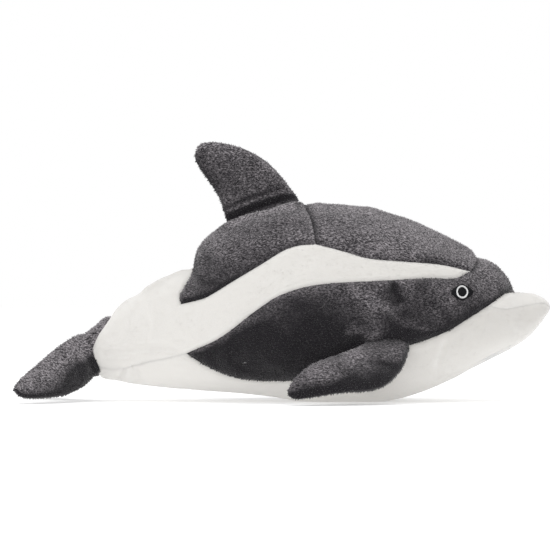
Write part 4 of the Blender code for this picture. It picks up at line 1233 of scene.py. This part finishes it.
def embroidered(solid, runs, lift, finish, side):
    """Stitches on the face, each from one end of its run to the other, in place of the solid."""
    share = np.linspace(0, 1, STITCH_POINTS)
    points, edges = [], []
    for start, end in runs:
        spots = start + (end - start) * share[:, None]
        arch = lift + CROWN * np.sin(np.pi * np.clip(share, 0.04, 0.96)) ** 0.6
        edges += [(len(points) * STITCH_POINTS + i, len(points) * STITCH_POINTS + i + 1)
                  for i in range(STITCH_POINTS - 1)]
        points.append(on_skin(spots, arch, side))
    mesh = bpy.data.meshes.new(solid + "_runs")
    mesh.from_pydata(((np.concatenate(points) - [MIDDLE_X, 0, 0]) * MM).tolist(), edges, [])
    guide = bpy.data.objects.new(solid + "_runs", mesh)
    made = applied(guide, "stitched_" + solid, thread_tree, Thread=THREAD / 2 * MM, Sides=THREAD_SIDES,
                   Material=finish)
    bpy.data.objects.remove(guide)
    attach(made, "root")
    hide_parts(solid)


BLACK_THREAD = thread_finish("thread_black", (0.006, 0.006, 0.008), rough=0.6, depth=0.5)
WHITE_THREAD = thread_finish("thread_white", (0.76, 0.76, 0.76), rough=0.55, depth=0.2)
middle = np.array(EYE_PLACE)
for side, title in ((-1, "right"), (1, "left")):
    runs = []
    for x in np.arange(-EYE_LENGTH / 2 + STITCH_PITCH, EYE_LENGTH / 2 - STITCH_PITCH / 2, STITCH_PITCH):
        tall = EYE_HEIGHT / 2 * (1 - abs(2 * x / EYE_LENGTH) ** (2 / EYE_POINTED)) ** (EYE_POINTED / 2)
        runs.append((middle + [x, -tall - STITCH_PAST], middle + [x + PATCH_SLANT, tall + STITCH_PAST]))
    embroidered("eye_patch_" + title, runs, PATCH_LIFT, BLACK_THREAD, side)
    count = int(np.pi * EYE_RING / STITCH_PITCH)
    runs = []
    for turn in np.arange(count) * 2 * np.pi / count:
        inner, outer = (np.array([np.cos(t), np.sin(t)]) for t in (turn, turn + RING_SLANT))
        runs.append((middle + inner * (EYE_RING / 2 - EYE_RING_BAND), middle + outer * EYE_RING / 2))
    embroidered("eye_ring_" + title, runs, RING_LIFT, WHITE_THREAD, side)


# Filling: loose polyester fibre inside the body, the fins, the flippers and the fluke. It keeps its
# solids, because the plush hides it.
fibre = finish_for("fibre")
fibre_nodes = fibre.node_tree
fibre_shader = fibre_nodes.nodes["Principled BSDF"]
wool = node(fibre_nodes, "ShaderNodeGroup", node_tree=plush)
wool.inputs["Hair Colour"].default_value = (0.9, 0.9, 0.88, 1)
wool.inputs["Shaded Root Colour"].default_value = (0.66, 0.66, 0.65, 1)
wool.inputs["Ground"].default_value = 0.6
fluff = node(fibre_nodes, "ShaderNodeBump")
fluff.inputs["Distance"].default_value = 1.2 * MM
link(fibre_nodes, (wool.outputs["Colour"], fibre_shader.inputs["Base Color"]),
     (wool.outputs["Roughness"], fibre_shader.inputs["Roughness"]),
     (wool.outputs["Height"], fluff.inputs["Height"]),
     (fluff.outputs["Normal"], fibre_shader.inputs["Normal"]))
for name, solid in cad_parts.items():
    if name.endswith("_filling"):
        solid.data.materials.clear()
        solid.data.materials.append(fibre)
